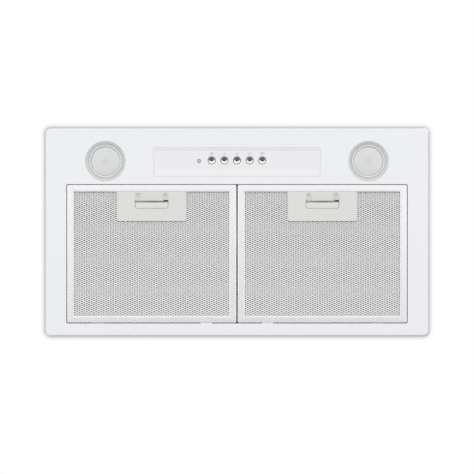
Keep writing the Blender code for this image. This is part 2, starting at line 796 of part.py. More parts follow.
def make_wiring():
    low = HOUSE_TOP + GAP
    terminal = box(
        "terminal_box", (-195 * MM, -112 * MM, low), (-115 * MM, -62 * MM, low + 24 * MM),
        "grey_plastic"
    )
    cut(terminal, box(
        "terminal_hollow", (-193 * MM, -110 * MM, low + 2 * MM),
        (-117 * MM, -64 * MM, low + 30 * MM)
    ))
    cut(terminal, cylinder(
        "terminal_lead_hole", (-150 * MM, -82 * MM, low), 5 * MM, 8 * MM, sides=16
    ))
    cut(terminal, cylinder(
        "gland_hole", (-116 * MM, -87 * MM, low + 12 * MM), 6.3 * MM, 8 * MM, "X", sides=24
    ))
    box(
        "terminal_cover", (-196 * MM, -113 * MM, low + 24 * MM + GAP),
        (-114 * MM, -61 * MM, low + 26.5 * MM), "grey_plastic"
    )
    turned(
        "cable_gland",
        [(7.5 * MM, 15 * MM), (9.5 * MM, 13 * MM), (9.5 * MM, GAP), (6.0 * MM, GAP),
         (6.0 * MM, -6 * MM), (4.0 * MM, -6 * MM), (4.0 * MM, 15 * MM)],
        (-115 * MM, -87 * MM, low + 12 * MM), "X", "black_plastic", 24
    )
    for side, sign in both_sides():
        start = 44.8 * MM if sign > 0 else -56.8 * MM
        wire("lamp_lead_" + side, [
            (sign * LAMP_X, LAMP_Y, 34.6 * MM), (sign * LAMP_X, LAMP_Y, 39 * MM),
            (sign * (LAMP_X - 7 * MM), LAMP_Y + 2 * MM, 44 * MM),
            (sign * (LAMP_X - 28 * MM), LAMP_Y + 5 * MM, 38 * MM),
            (sign * 100 * MM, -84 * MM, 22 * MM), (sign * 72 * MM, -88 * MM, 15 * MM),
            (start, -90 * MM, 14 * MM),
        ], 4 * MM, "cable_grey", 3)
    wire("motor_lead", [
        (20 * MM, -59.6 * MM, 92 * MM), (20 * MM, -72 * MM, 93 * MM),
        (20 * MM, -87 * MM, 80 * MM), (20 * MM, -90 * MM, 56 * MM),
        (20 * MM, -91 * MM, 36 * MM), (20 * MM, -92 * MM, 20.4 * MM),
    ], 6 * MM, "cable_grey", 4)
    wire("supply_lead", [
        (-40 * MM, -92 * MM, 20.4 * MM), (-44 * MM, -92 * MM, 32 * MM),
        (-80 * MM, -97 * MM, 44 * MM), (-130 * MM, -93 * MM, 40 * MM),
        (-150 * MM, -90 * MM, 52 * MM), (-150 * MM, -90 * MM, 80 * MM),
        (-152 * MM, -86 * MM, 120 * MM), (-150 * MM, -82 * MM, 160 * MM),
        (-150 * MM, -82 * MM, 182 * MM),
    ], 6 * MM, "cable_grey", 4)


rotor_pivot = pivot("rotor_axis", (0, FAN_Y, FAN_Z))
make_bezel()
make_controls()
for lamp_side, lamp_sign in both_sides():
    make_lamp(lamp_side, lamp_sign)
for filter_side, filter_sign in both_sides():
    make_filter(filter_side, filter_sign)
make_housing()
make_blower()
make_outlet()
make_wiring()
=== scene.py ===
# %% [markdown]
# # A built-in range hood, made around a fixed frame
# The frame holds the hood's real parts at their real size. This script gives each of them its
# finished shape and its finish: the rolled filter frames and their expanded metal, the dished
# push buttons, the lamps, the galvanised air chamber and the blower inside it.

# %% Load the frame
import math

import bmesh
import bpy
from mathutils import Matrix, Vector


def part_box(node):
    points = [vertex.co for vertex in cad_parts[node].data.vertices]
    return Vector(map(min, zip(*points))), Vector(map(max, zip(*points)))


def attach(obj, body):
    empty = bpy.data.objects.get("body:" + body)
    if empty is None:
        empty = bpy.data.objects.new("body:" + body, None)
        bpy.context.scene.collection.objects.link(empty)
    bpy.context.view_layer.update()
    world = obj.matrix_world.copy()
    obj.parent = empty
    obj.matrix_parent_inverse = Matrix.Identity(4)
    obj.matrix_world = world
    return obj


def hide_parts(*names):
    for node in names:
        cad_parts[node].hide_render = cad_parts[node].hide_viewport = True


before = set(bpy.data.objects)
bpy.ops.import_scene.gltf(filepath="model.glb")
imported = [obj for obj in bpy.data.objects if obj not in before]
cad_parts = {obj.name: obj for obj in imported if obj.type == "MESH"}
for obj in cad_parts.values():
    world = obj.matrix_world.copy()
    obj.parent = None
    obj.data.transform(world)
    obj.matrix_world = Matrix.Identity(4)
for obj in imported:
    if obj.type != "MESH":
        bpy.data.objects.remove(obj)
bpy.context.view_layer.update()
MM = 0.001
SIDES = (("left", -1), ("right", 1))
SIDE_AXIS = {-1: "-X", 1: "X"}
print("frame loaded:", len(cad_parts), "nodes")

# %% [markdown]
# ## Camera
# The hood is looked at from straight below, with the controls at the top of the view. A long lens
# far away keeps the sides of the rim out of sight.

# %% Camera
VIEW_WIDTH = 606.6 * MM  # how much the view covers from left to right at the face
LENS = 110.0
SENSOR = 36.0
LOOK_AT_Y = 6.35 * MM  # the hood hangs a little above the middle of the view

camera_data = bpy.data.cameras.new("camera")
camera_data.lens = LENS
camera_data.sensor_width = SENSOR
camera_data.clip_end = 50
camera = bpy.data.objects.new("camera", camera_data)
camera.location = (0, LOOK_AT_Y, -VIEW_WIDTH * LENS / SENSOR)
camera.rotation_euler = (math.pi, 0, 0)
bpy.context.scene.collection.objects.link(camera)
bpy.context.scene.camera = camera
bpy.context.scene.view_settings.view_transform = "Standard"
print("camera distance:", round(-camera.location.z, 3), "m")

# %% [markdown]
# ## Shader maths as Python
# Node trees are easier to read as expressions. `Number` wraps a socket, and arithmetic on it adds
# Math nodes. `Recipe` holds one material and makes every other node with a single method.

# %% Number
def operator(operation, flip=False):
    """A method that does one operation of a Math node."""
    return lambda number, other: number.math(operation, other, flip=flip)


class Number:
    """A value that flows between nodes."""

    def __init__(self, recipe, socket):
        self.recipe = recipe
        self.socket = socket

    def math(self, operation, *others, flip=False):
        parts = [self, *others]
        if flip:
            parts.reverse()
        node = self.recipe.node("ShaderNodeMath", {"operation": operation}, dict(enumerate(parts)))
        return Number(self.recipe, node.outputs[0])

    __add__ = __radd__ = operator("ADD")
    __mul__ = __rmul__ = operator("MULTIPLY")
    __sub__ = operator("SUBTRACT")
    __rsub__ = operator("SUBTRACT", flip=True)
    __truediv__ = operator("DIVIDE")
    __pow__ = operator("POWER")

    def smooth(self, low, high):
        """0 below low, 1 above high, and a smooth step between."""
        settings = {"interpolation_type": "SMOOTHSTEP"}
        node = self.recipe.node(
            "ShaderNodeMapRange", settings, {"Value": self, "From Min": low, "From Max": high}
        )
        return Number(self.recipe, node.outputs["Result"])


# %% Recipe
class Recipe:
    """One node tree, and the ways to add to it."""

    def __init__(self, tree):
        self.tree = tree

    def node(self, kind, settings=None, inputs=None):
        node = self.tree.nodes.new(kind)
        for name, value in (settings or {}).items():
            if name == "stops":
                ramp = node.color_ramp.elements
                for i, (place, colour) in enumerate(value):
                    stop = ramp[i] if i < 2 else ramp.new(place)
                    stop.position = place
                    stop.color = (*colour, 1)
            else:
                setattr(node, name, value)
        for name, value in (inputs or {}).items():
            if isinstance(value, Number):
                self.tree.links.new(value.socket, node.inputs[name])
            elif isinstance(value, bpy.types.NodeSocket):
                self.tree.links.new(value, node.inputs[name])
            else:
                node.inputs[name].default_value = value
        return node

    def number(self, node, output=0):
        return Number(self, node.outputs[output])

    def place(self, scale=(1, 1, 1)):
        """Object coordinates, stretched by scale."""
        where = self.node("ShaderNodeTexCoord")
        node = self.node(
            "ShaderNodeMapping", None, {"Vector": where.outputs["Object"], "Scale": scale}
        )
        return node.outputs["Vector"]

    def noise(self, size, detail=2.0, stretch=(1, 1, 1)):
        """Noise from 0 to 1 whose lumps are about size metres."""
        node = self.node("ShaderNodeTexNoise", None, {
            "Vector": self.place(stretch), "Scale": 1 / size, "Detail": detail,
        })
        return self.number(node, "Fac")

    def tint(self, dark, light, factor):
        node = self.node("ShaderNodeMix", {"data_type": "RGBA"}, {
            "Factor": factor, 6: (*dark, 1), 7: (*light, 1),
        })
        return node.outputs[2]

    def bump(self, height, distance, strength=1.0):
        node = self.node("ShaderNodeBump", None, {
            "Height": height, "Distance": distance, "Strength": strength,
        })
        return node.outputs["Normal"]


def new_finish(name, slot, build, **constants):
    """A material: build(recipe) gives the linked inputs, constants the plain ones."""
    finish = bpy.data.materials.new(name)
    finish.use_nodes = True
    recipe = Recipe(finish.node_tree)
    shader = finish.node_tree.nodes["Principled BSDF"]
    for socket, value in constants.items():
        shader.inputs[socket.replace("_", " ")].default_value = value
    for socket, value in build(recipe).items():
        source = value.socket if isinstance(value, Number) else value
        finish.node_tree.links.new(source, shader.inputs[socket])
    return finish


# %% [markdown]
# ## Paint and plastic
# The face is folded steel with a powder coat. Powder melts into a skin with a faint orange peel,
# which only the reflections show. Moulded plastic has a fine spark-eroded grain instead.

# %% Enamel and plastics
def enamel(recipe):
    peel = recipe.noise(2.2 * MM, 1.0)
    cloud = recipe.noise(90 * MM, 2.0)
    return {
        "Base Color": recipe.tint((0.828, 0.842, 0.874), (0.836, 0.849, 0.880), cloud),
        "Roughness": 0.26 + 0.04 * recipe.noise(14 * MM),
        "Normal": recipe.bump(peel, 0.004 * MM, 0.1),
    }


def plastic(name, slot, dark, light, rough, grain=0.5 * MM, depth=0.012 * MM):
    """Moulded plastic between two tints."""
    def build(recipe):
        fine = recipe.noise(grain, 3.0)
        cloud = recipe.noise(35 * MM, 2.0)
        return {
            "Base Color": recipe.tint(dark, light, cloud),
            "Roughness": rough - 0.05 + 0.1 * recipe.noise(6 * MM),
            "Normal": recipe.bump(fine, depth, 0.5),
        }
    return new_finish(name, slot, build)


ENAMEL = new_finish(
    "powder_coat_white", "white_enamel", enamel, Coat_Weight=0.25, Coat_Roughness=0.12
)
FASCIA = plastic(
    "fascia_plastic", "white_plastic", (0.804, 0.808, 0.824), (0.830, 0.834, 0.849), 0.34
)
CAN_WHITE = plastic("lamp_plastic", "white_plastic", (0.70, 0.715, 0.72), (0.73, 0.745, 0.75), 0.36)
# The lamp cup is the white lamp plastic in a darker tint: painted shade for the recess round each
# lamp.
SHADED_CUP = plastic(
    "lamp_cup_plastic_painted_shade", "white_plastic", (0.63, 0.645, 0.655), (0.67, 0.685, 0.695), 0.36
)
HANDLE = plastic(
    "handle_plastic", "handle_plastic", (0.700, 0.702, 0.680), (0.728, 0.730, 0.708), 0.42
)
BLACK = plastic("black_nylon", "black_plastic", (0.022, 0.022, 0.024), (0.038, 0.038, 0.04), 0.46)
GREY = plastic("grey_abs", "grey_plastic", (0.36, 0.37, 0.38), (0.42, 0.43, 0.44), 0.5)
SHEATH = plastic(
    "cable_sheath", "cable_grey", (0.19, 0.19, 0.2), (0.25, 0.25, 0.26), 0.55, 1.2 * MM
)
PRINT = plastic(
    "grey_print", "white_plastic", (0.36, 0.365, 0.38), (0.42, 0.425, 0.44), 0.5, 0.3 * MM,
    0.004 * MM
)
print("paint and plastics ready")

# %% [markdown]
# ## Metals
# Hot-dip zinc freezes into flat crystals, the spangle. Each Voronoi cell is one crystal, with its
# own grey and its own gloss. Chrome needs only hairline marks; the filters are bright aluminium.

# %% Metals and glass
def galvanised(recipe):
    cell = recipe.node("ShaderNodeTexVoronoi", None, {
        "Vector": recipe.place(), "Scale": 1 / (6.5 * MM), "Randomness": 1.0,
    })
    tone = recipe.node("ShaderNodeSeparateColor", None, {"Color": cell.outputs["Color"]})
    crystal = recipe.number(tone, "Red")
    stain = recipe.noise(60 * MM, 4.0)
    streak = recipe.noise(1.0 * MM, 2.0, (1, 1, 0.04))
    shade = (0.55 * crystal + 0.30 * stain + 0.15 * streak).smooth(0.1, 0.9)
    return {
        "Base Color": recipe.tint((0.50, 0.51, 0.525), (0.62, 0.63, 0.645), shade),
        "Roughness": 0.38 + 0.10 * recipe.number(tone, "Green") + 0.08 * stain,
        "Normal": recipe.bump(crystal + 0.3 * streak, 0.01 * MM, 0.25),
    }


def chrome(recipe):
    hair = recipe.noise(0.25 * MM, 2.0, (1, 0.05, 1))
    return {
        "Roughness": 0.05 + 0.05 * recipe.noise(3 * MM),
        "Normal": recipe.bump(hair, 0.004 * MM, 0.15),
    }


def brushed_metal(name, slot, dark, light, rough, metallic):
    """Metal between two tints, with fine marks along it."""
    def build(recipe):
        brushed = recipe.noise(0.4 * MM, 2.0, (1, 0.06, 1))
        cloud = recipe.noise(30 * MM, 3.0)
        return {
            "Base Color": recipe.tint(dark, light, 0.5 * brushed + 0.5 * cloud),
            "Roughness": rough + 0.08 * cloud,
            "Normal": recipe.bump(brushed, 0.006 * MM, 0.2),
        }
    return new_finish(name, slot, build, Metallic=metallic)


def frosted(recipe):
    """Tiny round lenslets pressed into the inner face, and a painted shade of the bulb behind it."""
    bulb = recipe.node("ShaderNodeSeparateXYZ", None, {0: recipe.place()})
    across = recipe.number(bulb, "X").math("ABSOLUTE") - LAMP_X
    out = (across * across + (recipe.number(bulb, "Y") - LAMP_Y) ** 2).math("SQRT")
    # painted shade of the bulb behind the glass: darker towards the lamp's middle
    tone = 0.30 + 0.70 * out.smooth(0, 8 * MM)
    dots = recipe.node("ShaderNodeTexVoronoi", {"feature": "SMOOTH_F1"}, {
        "Vector": recipe.place((1, 1, 0)), "Scale": 1 / (3.2 * MM), "Randomness": 0.25,
        "Smoothness": 0.4,
    })
    lens = recipe.number(dots, "Distance").smooth(0.0, 0.7)
    return {
        "Base Color": recipe.tint((0.62, 0.63, 0.615), (0.70, 0.715, 0.695), tone - 0.4 * lens),
        "Normal": recipe.bump(1 - lens, 0.15 * MM, 0.35),
    }


def pilot(recipe):
    return {
        "Base Color": recipe.tint((0.42, 0.42, 0.44), (0.56, 0.56, 0.58), recipe.noise(1.5 * MM)),
        "Roughness": 0.16 + 0.05 * recipe.noise(2 * MM),
    }


lamp_low, lamp_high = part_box("lamp_bezel_left")
LAMP_X = -(lamp_low.x + lamp_high.x) / 2
LAMP_Y = (lamp_low.y + lamp_high.y) / 2
ZINC = new_finish("galvanised_sheet", "galvanised", galvanised, Metallic=1.0)
CHROME = new_finish(
    "chrome_plate", "chrome", chrome, Metallic=1.0, Base_Color=(0.86, 0.87, 0.88, 1)
)
RIM = brushed_metal("satin_chrome", "chrome", (0.66, 0.67, 0.67), (0.72, 0.73, 0.73), 0.34, 0.35)
MESH_METAL = brushed_metal(
    "mesh_aluminium", "aluminium", (0.69, 0.69, 0.69), (0.765, 0.765, 0.765), 0.40, 0.6
)
# The core layer is the same aluminium as the face and back layers in a darker tint: painted shade
# for the inside of the filter.
SHADED_CORE_METAL = brushed_metal(
    "core_aluminium_painted_shade", "aluminium", (0.30, 0.30, 0.30), (0.40, 0.40, 0.40), 0.5, 0.6
)
FRAME_METAL = brushed_metal(
    "frame_aluminium", "aluminium", (0.855, 0.855, 0.865), (0.89, 0.89, 0.90), 0.28, 0.45
)
MOTOR_METAL = brushed_metal(
    "cast_aluminium", "aluminium", (0.55, 0.56, 0.57), (0.68, 0.69, 0.70), 0.42, 1.0
)
GLASS = new_finish("frosted_diffuser", "frosted_glass", frosted, Roughness=0.3, Coat_Weight=0.4)
PILOT = new_finish("pilot_lens", "pilot_lens", pilot, Coat_Weight=0.5)
print("metals and glass ready")

# %% [markdown]
# ## Sheets, lips and turned shapes
# Pressed sheet is an outline with holes, and each edge turns over a small radius. One helper walks
# a closed outline through stations of (offset, height), and another fills the flat between rings.

# %% Outlines
def rounded_rectangle(middle, width, depth, radius, steps=6):
    """A function of offset that gives the outline, always with the same number of points.

    radius is one number, or a pair for the corners at +Y and at -Y.
    """
    rear_r, front_r = radius if isinstance(radius, tuple) else (radius, radius)

    def outline(offset):
        points = []
        for corner, (sx, sy) in enumerate(((1, 1), (-1, 1), (-1, -1), (1, -1))):
            r = max((rear_r if sy > 0 else front_r) + offset, 0.02 * MM)
            half_w = width / 2 + offset - r
            half_d = depth / 2 + offset - r
            for i in range(steps + 1):
                angle = math.pi / 2 * (corner + i / steps)
                points.append(Vector((
                    middle[0] + sx * half_w + r * math.cos(angle),
                    middle[1] + sy * half_d + r * math.sin(angle),
                )))
        return points
    return outline


def on_circle(radius, steps):
    """Evenly spaced (x, y) points round the origin."""
    turns = [2 * math.pi * i / steps for i in range(steps)]
    return [Vector((radius * math.cos(turn), radius * math.sin(turn))) for turn in turns]


def circle(middle, radius, steps=48):
    def outline(offset):
        return [Vector(middle[:2]) + point for point in on_circle(radius + offset, steps)]
    return outline


def bridge(shape, first, second, closed=True):
    """Faces between two rows that have as many points each."""
    count = len(first)
    for i in range(count if closed else count - 1):
        j = (i + 1) % count
        shape.faces.new((first[i], first[j], second[j], second[i]))


def walk(shape, outline, stations, closed=True):
    """Rings of the outline joined by faces; returns the first and the last ring."""
    rings = []
    for offset, height in stations:
        rings.append([shape.verts.new((p.x, p.y, height)) for p in outline(offset)])
    for first, second in zip(rings, rings[1:]):
        bridge(shape, first, second, closed)
    return rings[0], rings[-1]


def fill(shape, rings):
    """Flat faces between an outer ring and any holes."""
    edges = [
        shape.edges.get(pair) or shape.edges.new(pair)
        for ring in rings for pair in zip(ring, ring[1:] + ring[:1])
    ]
    bmesh.ops.triangle_fill(shape, edges=edges, use_beauty=True)


def arc(centre, radius, start, stop, steps=5):
    """(offset, height) stations on an arc; angles in degrees from the outward direction."""
    angles = [math.radians(start + (stop - start) * i / steps) for i in range(steps + 1)]
    return [(centre[0] + radius * math.cos(a), centre[1] + radius * math.sin(a)) for a in angles]


# %% Pieces
AXIS_TURN = {
    "Z": Matrix.Identity(4),
    "X": Matrix.Rotation(math.pi / 2, 4, "Y"),
    "-X": Matrix.Rotation(-math.pi / 2, 4, "Y"),
}


def in_mm(profile):
    return [(radius * MM, height * MM) for radius, height in profile]


def middle_of(node):
    low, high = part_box(node)
    return (low + high) / 2


def smoothed(mesh, sharp=35):
    mesh.shade_smooth()
    mesh.set_sharp_from_angle(angle=math.radians(sharp))
    return mesh


def as_mesh(shape):
    """The shape as a mesh without a name; add_piece names it."""
    mesh = bpy.data.meshes.new("mesh")
    shape.to_mesh(mesh)
    shape.free()
    return mesh


def shape_of(meshes):
    shape = bmesh.new()
    for mesh in meshes:
        shape.from_mesh(mesh)
    return shape


def finish_shape(shape, sharp=35):
    """The shape as a mesh with outward normals and sharp corners kept."""
    bmesh.ops.remove_doubles(shape, verts=shape.verts, dist=0.000001)
    bmesh.ops.recalc_face_normals(shape, faces=shape.faces)
    return smoothed(as_mesh(shape), sharp)


def merge(meshes):
    return smoothed(as_mesh(shape_of(meshes)))


def new_object(name, data):
    item = bpy.data.objects.new(name, data)
    bpy.context.scene.collection.objects.link(item)
    return item


def add_piece(name, mesh, finish, node=None, body="hood"):
    """A finished piece that moves with body and takes the place of node."""
    item = new_object(name, mesh)
    mesh.name = name
    mesh.materials.clear()
    mesh.materials.append(finish)
    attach(item, body)
    if node:
        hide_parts(node)


# %% Walls, turned shapes and slabs
def evaluated(item):
    """The mesh that the item's modifiers or curve settings give; the item is removed."""
    depsgraph = bpy.context.evaluated_depsgraph_get()
    mesh = bpy.data.meshes.new_from_object(item.evaluated_get(depsgraph))
    bpy.data.objects.remove(item)
    return mesh


def give_thickness(mesh, facing, thickness):
    """A closed wall from an open skin that mostly looks along facing."""
    skin = shape_of([mesh])
    if sum(face.calc_area() * face.normal.dot(Vector(facing)) for face in skin.faces) < 0:
        bmesh.ops.reverse_faces(skin, faces=skin.faces)
    item = new_object("wall", as_mesh(skin))
    wall = item.modifiers.new("wall", "SOLIDIFY")
    wall.thickness = thickness
    wall.offset = -1
    return smoothed(evaluated(item))


def turned_mesh(profile, centre=(0, 0, 0), axis="Z", steps=64, sharp=40):
    """A closed profile of (radius, height) in millimetres, turned about the axis."""
    shape = bmesh.new()
    rings = []
    for radius, height in in_mm(profile):
        points = on_circle(radius, steps) if radius else [(0, 0)]
        rings.append([shape.verts.new((*point, height)) for point in points])
    pairs = list(zip(rings, rings[1:]))
    if len(rings[0]) > 1 and len(rings[-1]) > 1:
        pairs.append((rings[-1], rings[0]))
    for low, high in pairs:
        for i in range(steps):
            j = i + 1
            corners = [ring[k % len(ring)] for ring, k in ((low, i), (low, j), (high, j), (high, i))]
            shape.faces.new(list(dict.fromkeys(corners)))
    shape.transform(Matrix.Translation(centre) @ AXIS_TURN[axis])
    return finish_shape(shape, sharp)


def slab(shape, corner, other, edge=0.4 * MM, steps=2):
    """A box with rounded edges between two opposite corners, added to the shape."""
    low = Vector([min(pair) for pair in zip(corner, other)])
    high = Vector([max(pair) for pair in zip(corner, other)])
    place = Matrix.Translation((low + high) / 2) @ Matrix.Diagonal((*(high - low), 1))
    made = bmesh.ops.create_cube(shape, size=1, matrix=place)
    edges = list({e for v in made["verts"] for e in v.link_edges})
    bmesh.ops.bevel(
        shape, geom=edges, offset=edge, segments=steps, profile=0.5, affect="EDGES"
    )


def slabs_mesh(boxes, edge=0.4 * MM, steps=2, sharp=35):
    """Boxes with rounded edges as one mesh; each box is a pair of opposite corners."""
    shape = bmesh.new()
    for corner, other in boxes:
        slab(shape, corner, other, edge, steps)
    return finish_shape(shape, sharp)


# %% [markdown]
# ## Face
# The pan is one sheet: a flat with openings, whose outer edge rolls up over a 5 mm radius into the
# rim and turns in again as the flange that the cabinet rests on. Every opening has a small lip.

# %% Face
low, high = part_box("bezel")
FACE_W = high.x - low.x
FACE_D = high.y - low.y
RIM_H = high.z
SHEET = 1.0 * MM
BEND = 5.0 * MM
ROLL = 2.3 * MM  # how far in from the rim the bend starts
CORNER = 7.5 * MM
SEAT = 10.5 * MM
TOP_BEND = 1.5 * MM
LIP = 0.8 * MM
SUPPORT = 0.5 * MM  # a narrow flat ring beside each bend keeps the big flat's shading level

frames_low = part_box("filter_frame_left")[0]
frames_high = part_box("filter_frame_right")[1]
fascia_low, fascia_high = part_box("control_fascia")
FASCIA_Y = (fascia_low.y + fascia_high.y) / 2
FASCIA_FLANGE = 4.0 * MM
GAP = 0.15 * MM
FASCIA_W = fascia_high.x - fascia_low.x - 2 * (FASCIA_FLANGE - 2 * GAP)
FASCIA_D = fascia_high.y - fascia_low.y - 2 * (FASCIA_FLANGE - 2 * GAP)
FILTER_GAP = 0.38 * MM
OPEN_W = 2 * (frames_high.x + FILTER_GAP)
OPEN_FRONT = frames_low.y - FILTER_GAP
OPEN_REAR = 117.05 * MM
OPEN_CORNER = 1.9 * MM
LAMP_HOLE_R = 25.5 * MM

face_outline = rounded_rectangle((0, 0), FACE_W, FACE_D, CORNER, 8)
filter_hole = rounded_rectangle(
    (0, (OPEN_FRONT + OPEN_REAR) / 2), OPEN_W, OPEN_REAR - OPEN_FRONT, OPEN_CORNER
)
fascia_hole = rounded_rectangle((0, FASCIA_Y), FASCIA_W, FASCIA_D, 1.2 * MM)
lamp_holes = [circle((sign * LAMP_X, LAMP_Y), LAMP_HOLE_R, 72) for _, sign in SIDES]


def hole_lip(shape, outline, lip=LIP, depth=0.2 * MM):
    """An edge that turns up into the hood; returns its outer ring, on the flat."""
    stations = [(lip + SUPPORT, 0), (lip, 0)]
    stations += arc((lip, lip), lip, -90, -180, 4)[1:]
    stations.append((0, lip + depth))
    return walk(shape, outline, stations)[0]


skin = bmesh.new()
rim = [(-ROLL - SUPPORT, 0)]
rim += [(offset * ROLL / BEND, height) for offset, height in arc((-BEND, BEND), BEND, -90, 0, 10)]
rim += arc((-TOP_BEND, RIM_H - TOP_BEND), TOP_BEND, 0, 90, 5)
rim.append((-SEAT, RIM_H))
rings = [walk(skin, face_outline, rim)[0]]
rings.append(hole_lip(skin, filter_hole))
for hole in (*lamp_holes, fascia_hole):
    rings.append(hole_lip(skin, hole, 0.35 * MM, 0.6 * MM))
fill(skin, rings)
face_mesh = give_thickness(finish_shape(skin), (0, 0, -1), SHEET * 0.9)
add_piece("face_pan", face_mesh, ENAMEL, "bezel")
print("face:", len(face_mesh.polygons), "faces")

# %% [markdown]
# ## Control fascia
# A shallow plastic tray snapped into the face. Its border slopes down to a flat with a hole for
# each button, so the buttons sit below the face and can't be knocked.

# %% Fascia
BUTTONS = ("button_stop", "button_speed_1", "button_speed_2", "button_speed_3", "button_lamp")
BUTTON_R = (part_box("button_lamp")[1].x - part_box("button_lamp")[0].x) / 2
LENS_R = 2.5 * MM
TRAY = 0.8 * MM
BORDER = 3.2 * MM
TRAY_REAR = 9.0 * MM  # the rear border is the widest

tray = bmesh.new()
edge = rounded_rectangle((0, FASCIA_Y), FASCIA_W - GAP, FASCIA_D - GAP, 1.0 * MM)
floor_outline = rounded_rectangle(
    (0, FASCIA_Y - (TRAY_REAR - BORDER) / 2), FASCIA_W - 2 * BORDER,
    FASCIA_D - BORDER - TRAY_REAR, 1.5 * MM
)
outer = [(FASCIA_FLANGE, 1.3 * MM), (0, 1.3 * MM), (0, 0.5 * MM)]
outer += arc((-0.3 * MM, 0.5 * MM), 0.3 * MM, 0, -90, 3)[1:]
outer.append((-0.8 * MM, 0.22 * MM))
_, brim = walk(tray, edge, outer)
slope_top, inner_floor = walk(tray, floor_outline, [
    (0.4 * MM, TRAY - 0.28 * MM), (-0.3 * MM, TRAY), (-0.8 * MM, TRAY)
])
bridge(tray, brim, slope_top)
rings = [inner_floor]
lens_spot = middle_of("indicator_lens")
holes = [(middle_of(name), BUTTON_R + 4 * GAP, 40, 0.35 * MM) for name in BUTTONS]
for spot, radius, steps, flat in (*holes, (lens_spot, LENS_R, 24, 0.3 * MM)):
    rings.append(walk(tray, circle(spot, radius, steps), [
        (flat, TRAY), (0.1 * MM, TRAY), (0, TRAY + 0.1 * MM), (0, TRAY + 0.8 * MM)
    ])[0])
fill(tray, rings)
tray_mesh = give_thickness(finish_shape(tray), (0, 0, -1), 1.0 * MM)
add_piece("fascia_tray", tray_mesh, FASCIA, "control_fascia")
print("fascia:", len(tray_mesh.polygons), "faces")

# %% [markdown]
# ## Push buttons
# Each button is a chromed cap with a hollowed face and a rolled edge. The hollow is deepest behind
# the middle, so most of it mirrors the dark wall and only a crescent mirrors the bright front.

# %% Buttons
TIP = 0.30  # this and the next two in millimetres
EDGE_R = 0.36
FLAT_R = BUTTON_R / MM - EDGE_R
FACE_R = FLAT_R * MM
HOLLOW = 1.3 * MM
DEEPEST = 0.55 * FACE_R  # how far to the rear the deepest point lies

button = [(FLAT_R * i / 10, TIP) for i in range(11)]
for angle in (72, 54, 36, 18, 0):
    along = math.radians(angle)
    button.append((FLAT_R + EDGE_R * math.cos(along), TIP + EDGE_R - EDGE_R * math.sin(along)))
button += [(BUTTON_R / MM, 4.6), (2.0, 4.6), (2.0, 12.8), (0, 12.8)]
for name in BUTTONS:
    spot = middle_of(name)
    mesh = turned_mesh(button, (spot.x, spot.y, 0), "Z", 40, 50)
    for vertex in mesh.vertices:
        x, y = vertex.co.x - spot.x, vertex.co.y - spot.y
        inside = min(1.0, FACE_R / max(math.hypot(x, y), 1e-9))
        away = math.hypot(x * inside, y * inside - DEEPEST) / (FACE_R + DEEPEST)
        if vertex.co.z < 3 * MM:
            vertex.co.z += HOLLOW * (1 - away * away)
    add_piece(name + "_cap", mesh, CHROME, name, name.replace("button_", "") + "_button")
lens = [(0, 0.7), (0.8, 0.74), (1.5, 0.9), (2.0, 1.2), (2.2, 1.6), (2.2, 6), (0, 6)]
lens_mesh = turned_mesh(lens, (lens_spot.x, lens_spot.y, 0), "Z", 24, 50)
add_piece("pilot_light", lens_mesh, PILOT, "indicator_lens")
print("buttons:", len(BUTTONS), "and a pilot light")

# %% [markdown]
# ## Printed marks
# Plain marks above the buttons: a bar for stop, one to three ticks for the speeds, and a ring for
# the lamp. They are thin plates of ink, so that they stay with the fascia in any export.

# %% Printed marks
MARK_UP = 8.7 * MM
MARK_LINE = 0.55 * MM
INK = 0.03 * MM


def ink_plate(shape, x, y, width, depth):
    bmesh.ops.create_cube(shape, size=1, matrix=(
        Matrix.Translation((x, y, TRAY - INK / 2)) @ Matrix.Diagonal((width, depth, INK, 1))
    ))


marks = bmesh.new()
for number, name in enumerate(BUTTONS):
    spot = middle_of(name)
    y = spot.y - MARK_UP
    if name == "button_lamp":
        for point in on_circle(1.3 * MM, 12):
            ink_plate(marks, spot.x + point.x, y + point.y, MARK_LINE * 1.3, MARK_LINE * 1.3)
        for way in (-1, 1):
            ink_plate(marks, spot.x + way * 3.4 * MM, y, 1.8 * MM, MARK_LINE)
        continue
    if name == "button_stop":
        ink_plate(marks, spot.x, y - 0.4 * MM, 3.4 * MM, 1.0 * MM)
    for tick in range(number):
        x = spot.x + (tick - (number - 1) / 2) * 1.8 * MM
        ink_plate(marks, x, y - 0.4 * MM, MARK_LINE, 1.9 * MM)
    ink_plate(marks, spot.x, y + 1.2 * MM, 5.6 * MM, 0.4 * MM)
add_piece("fascia_marks", as_mesh(marks), PRINT)

# %% [markdown]
# ## Lamps
# Each lamp sits in a conical cup that shades the glare. A bright ring holds the frosted glass.

# %% Lamps
cup = [(25.35, 2.6), (25.35, 0.55), (25.2, 0.3), (24.9, 0.25), (24.5, 0.4), (22.6, 2.3)]
cup += [(21.75, 3.0), (21.5, 3.5), (21.45, 4.6), (21.45, 15.5), (22.8, 15.5), (22.8, 3.2)]
cup += [(24.4, 2.6)]
ring_profile = [(21.4, 6.4), (21.4, 2.8), (21.33, 2.55), (21.15, 2.46), (20.9, 2.44), (19.3, 2.44)]
ring_profile += [(19.05, 2.5), (18.93, 2.7), (18.9, 3.1), (18.9, 3.9), (19.8, 4.0), (19.8, 6.4)]
glass = [(0, 2.7), (5, 2.75), (10, 2.9), (14, 3.1), (16.5, 3.3), (18.0, 3.55), (18.5, 3.75)]
glass += [(18.7, 4.1), (19.65, 4.1), (19.65, 6.1), (0, 6.1)]
holder = [(0, 19.2), (14.4, 19.2), (19.3, 14.2), (19.4, 7.2), (20.6, 7.1), (20.9, 7.6)]
holder += [(20.9, 14.8), (20.4, 15.6), (16.4, 19.6), (15.9, 20.4), (9.2, 25.7), (8.9, 26.3)]
holder += [(8.9, 33.3), (8.3, 33.9), (0, 33.9)]

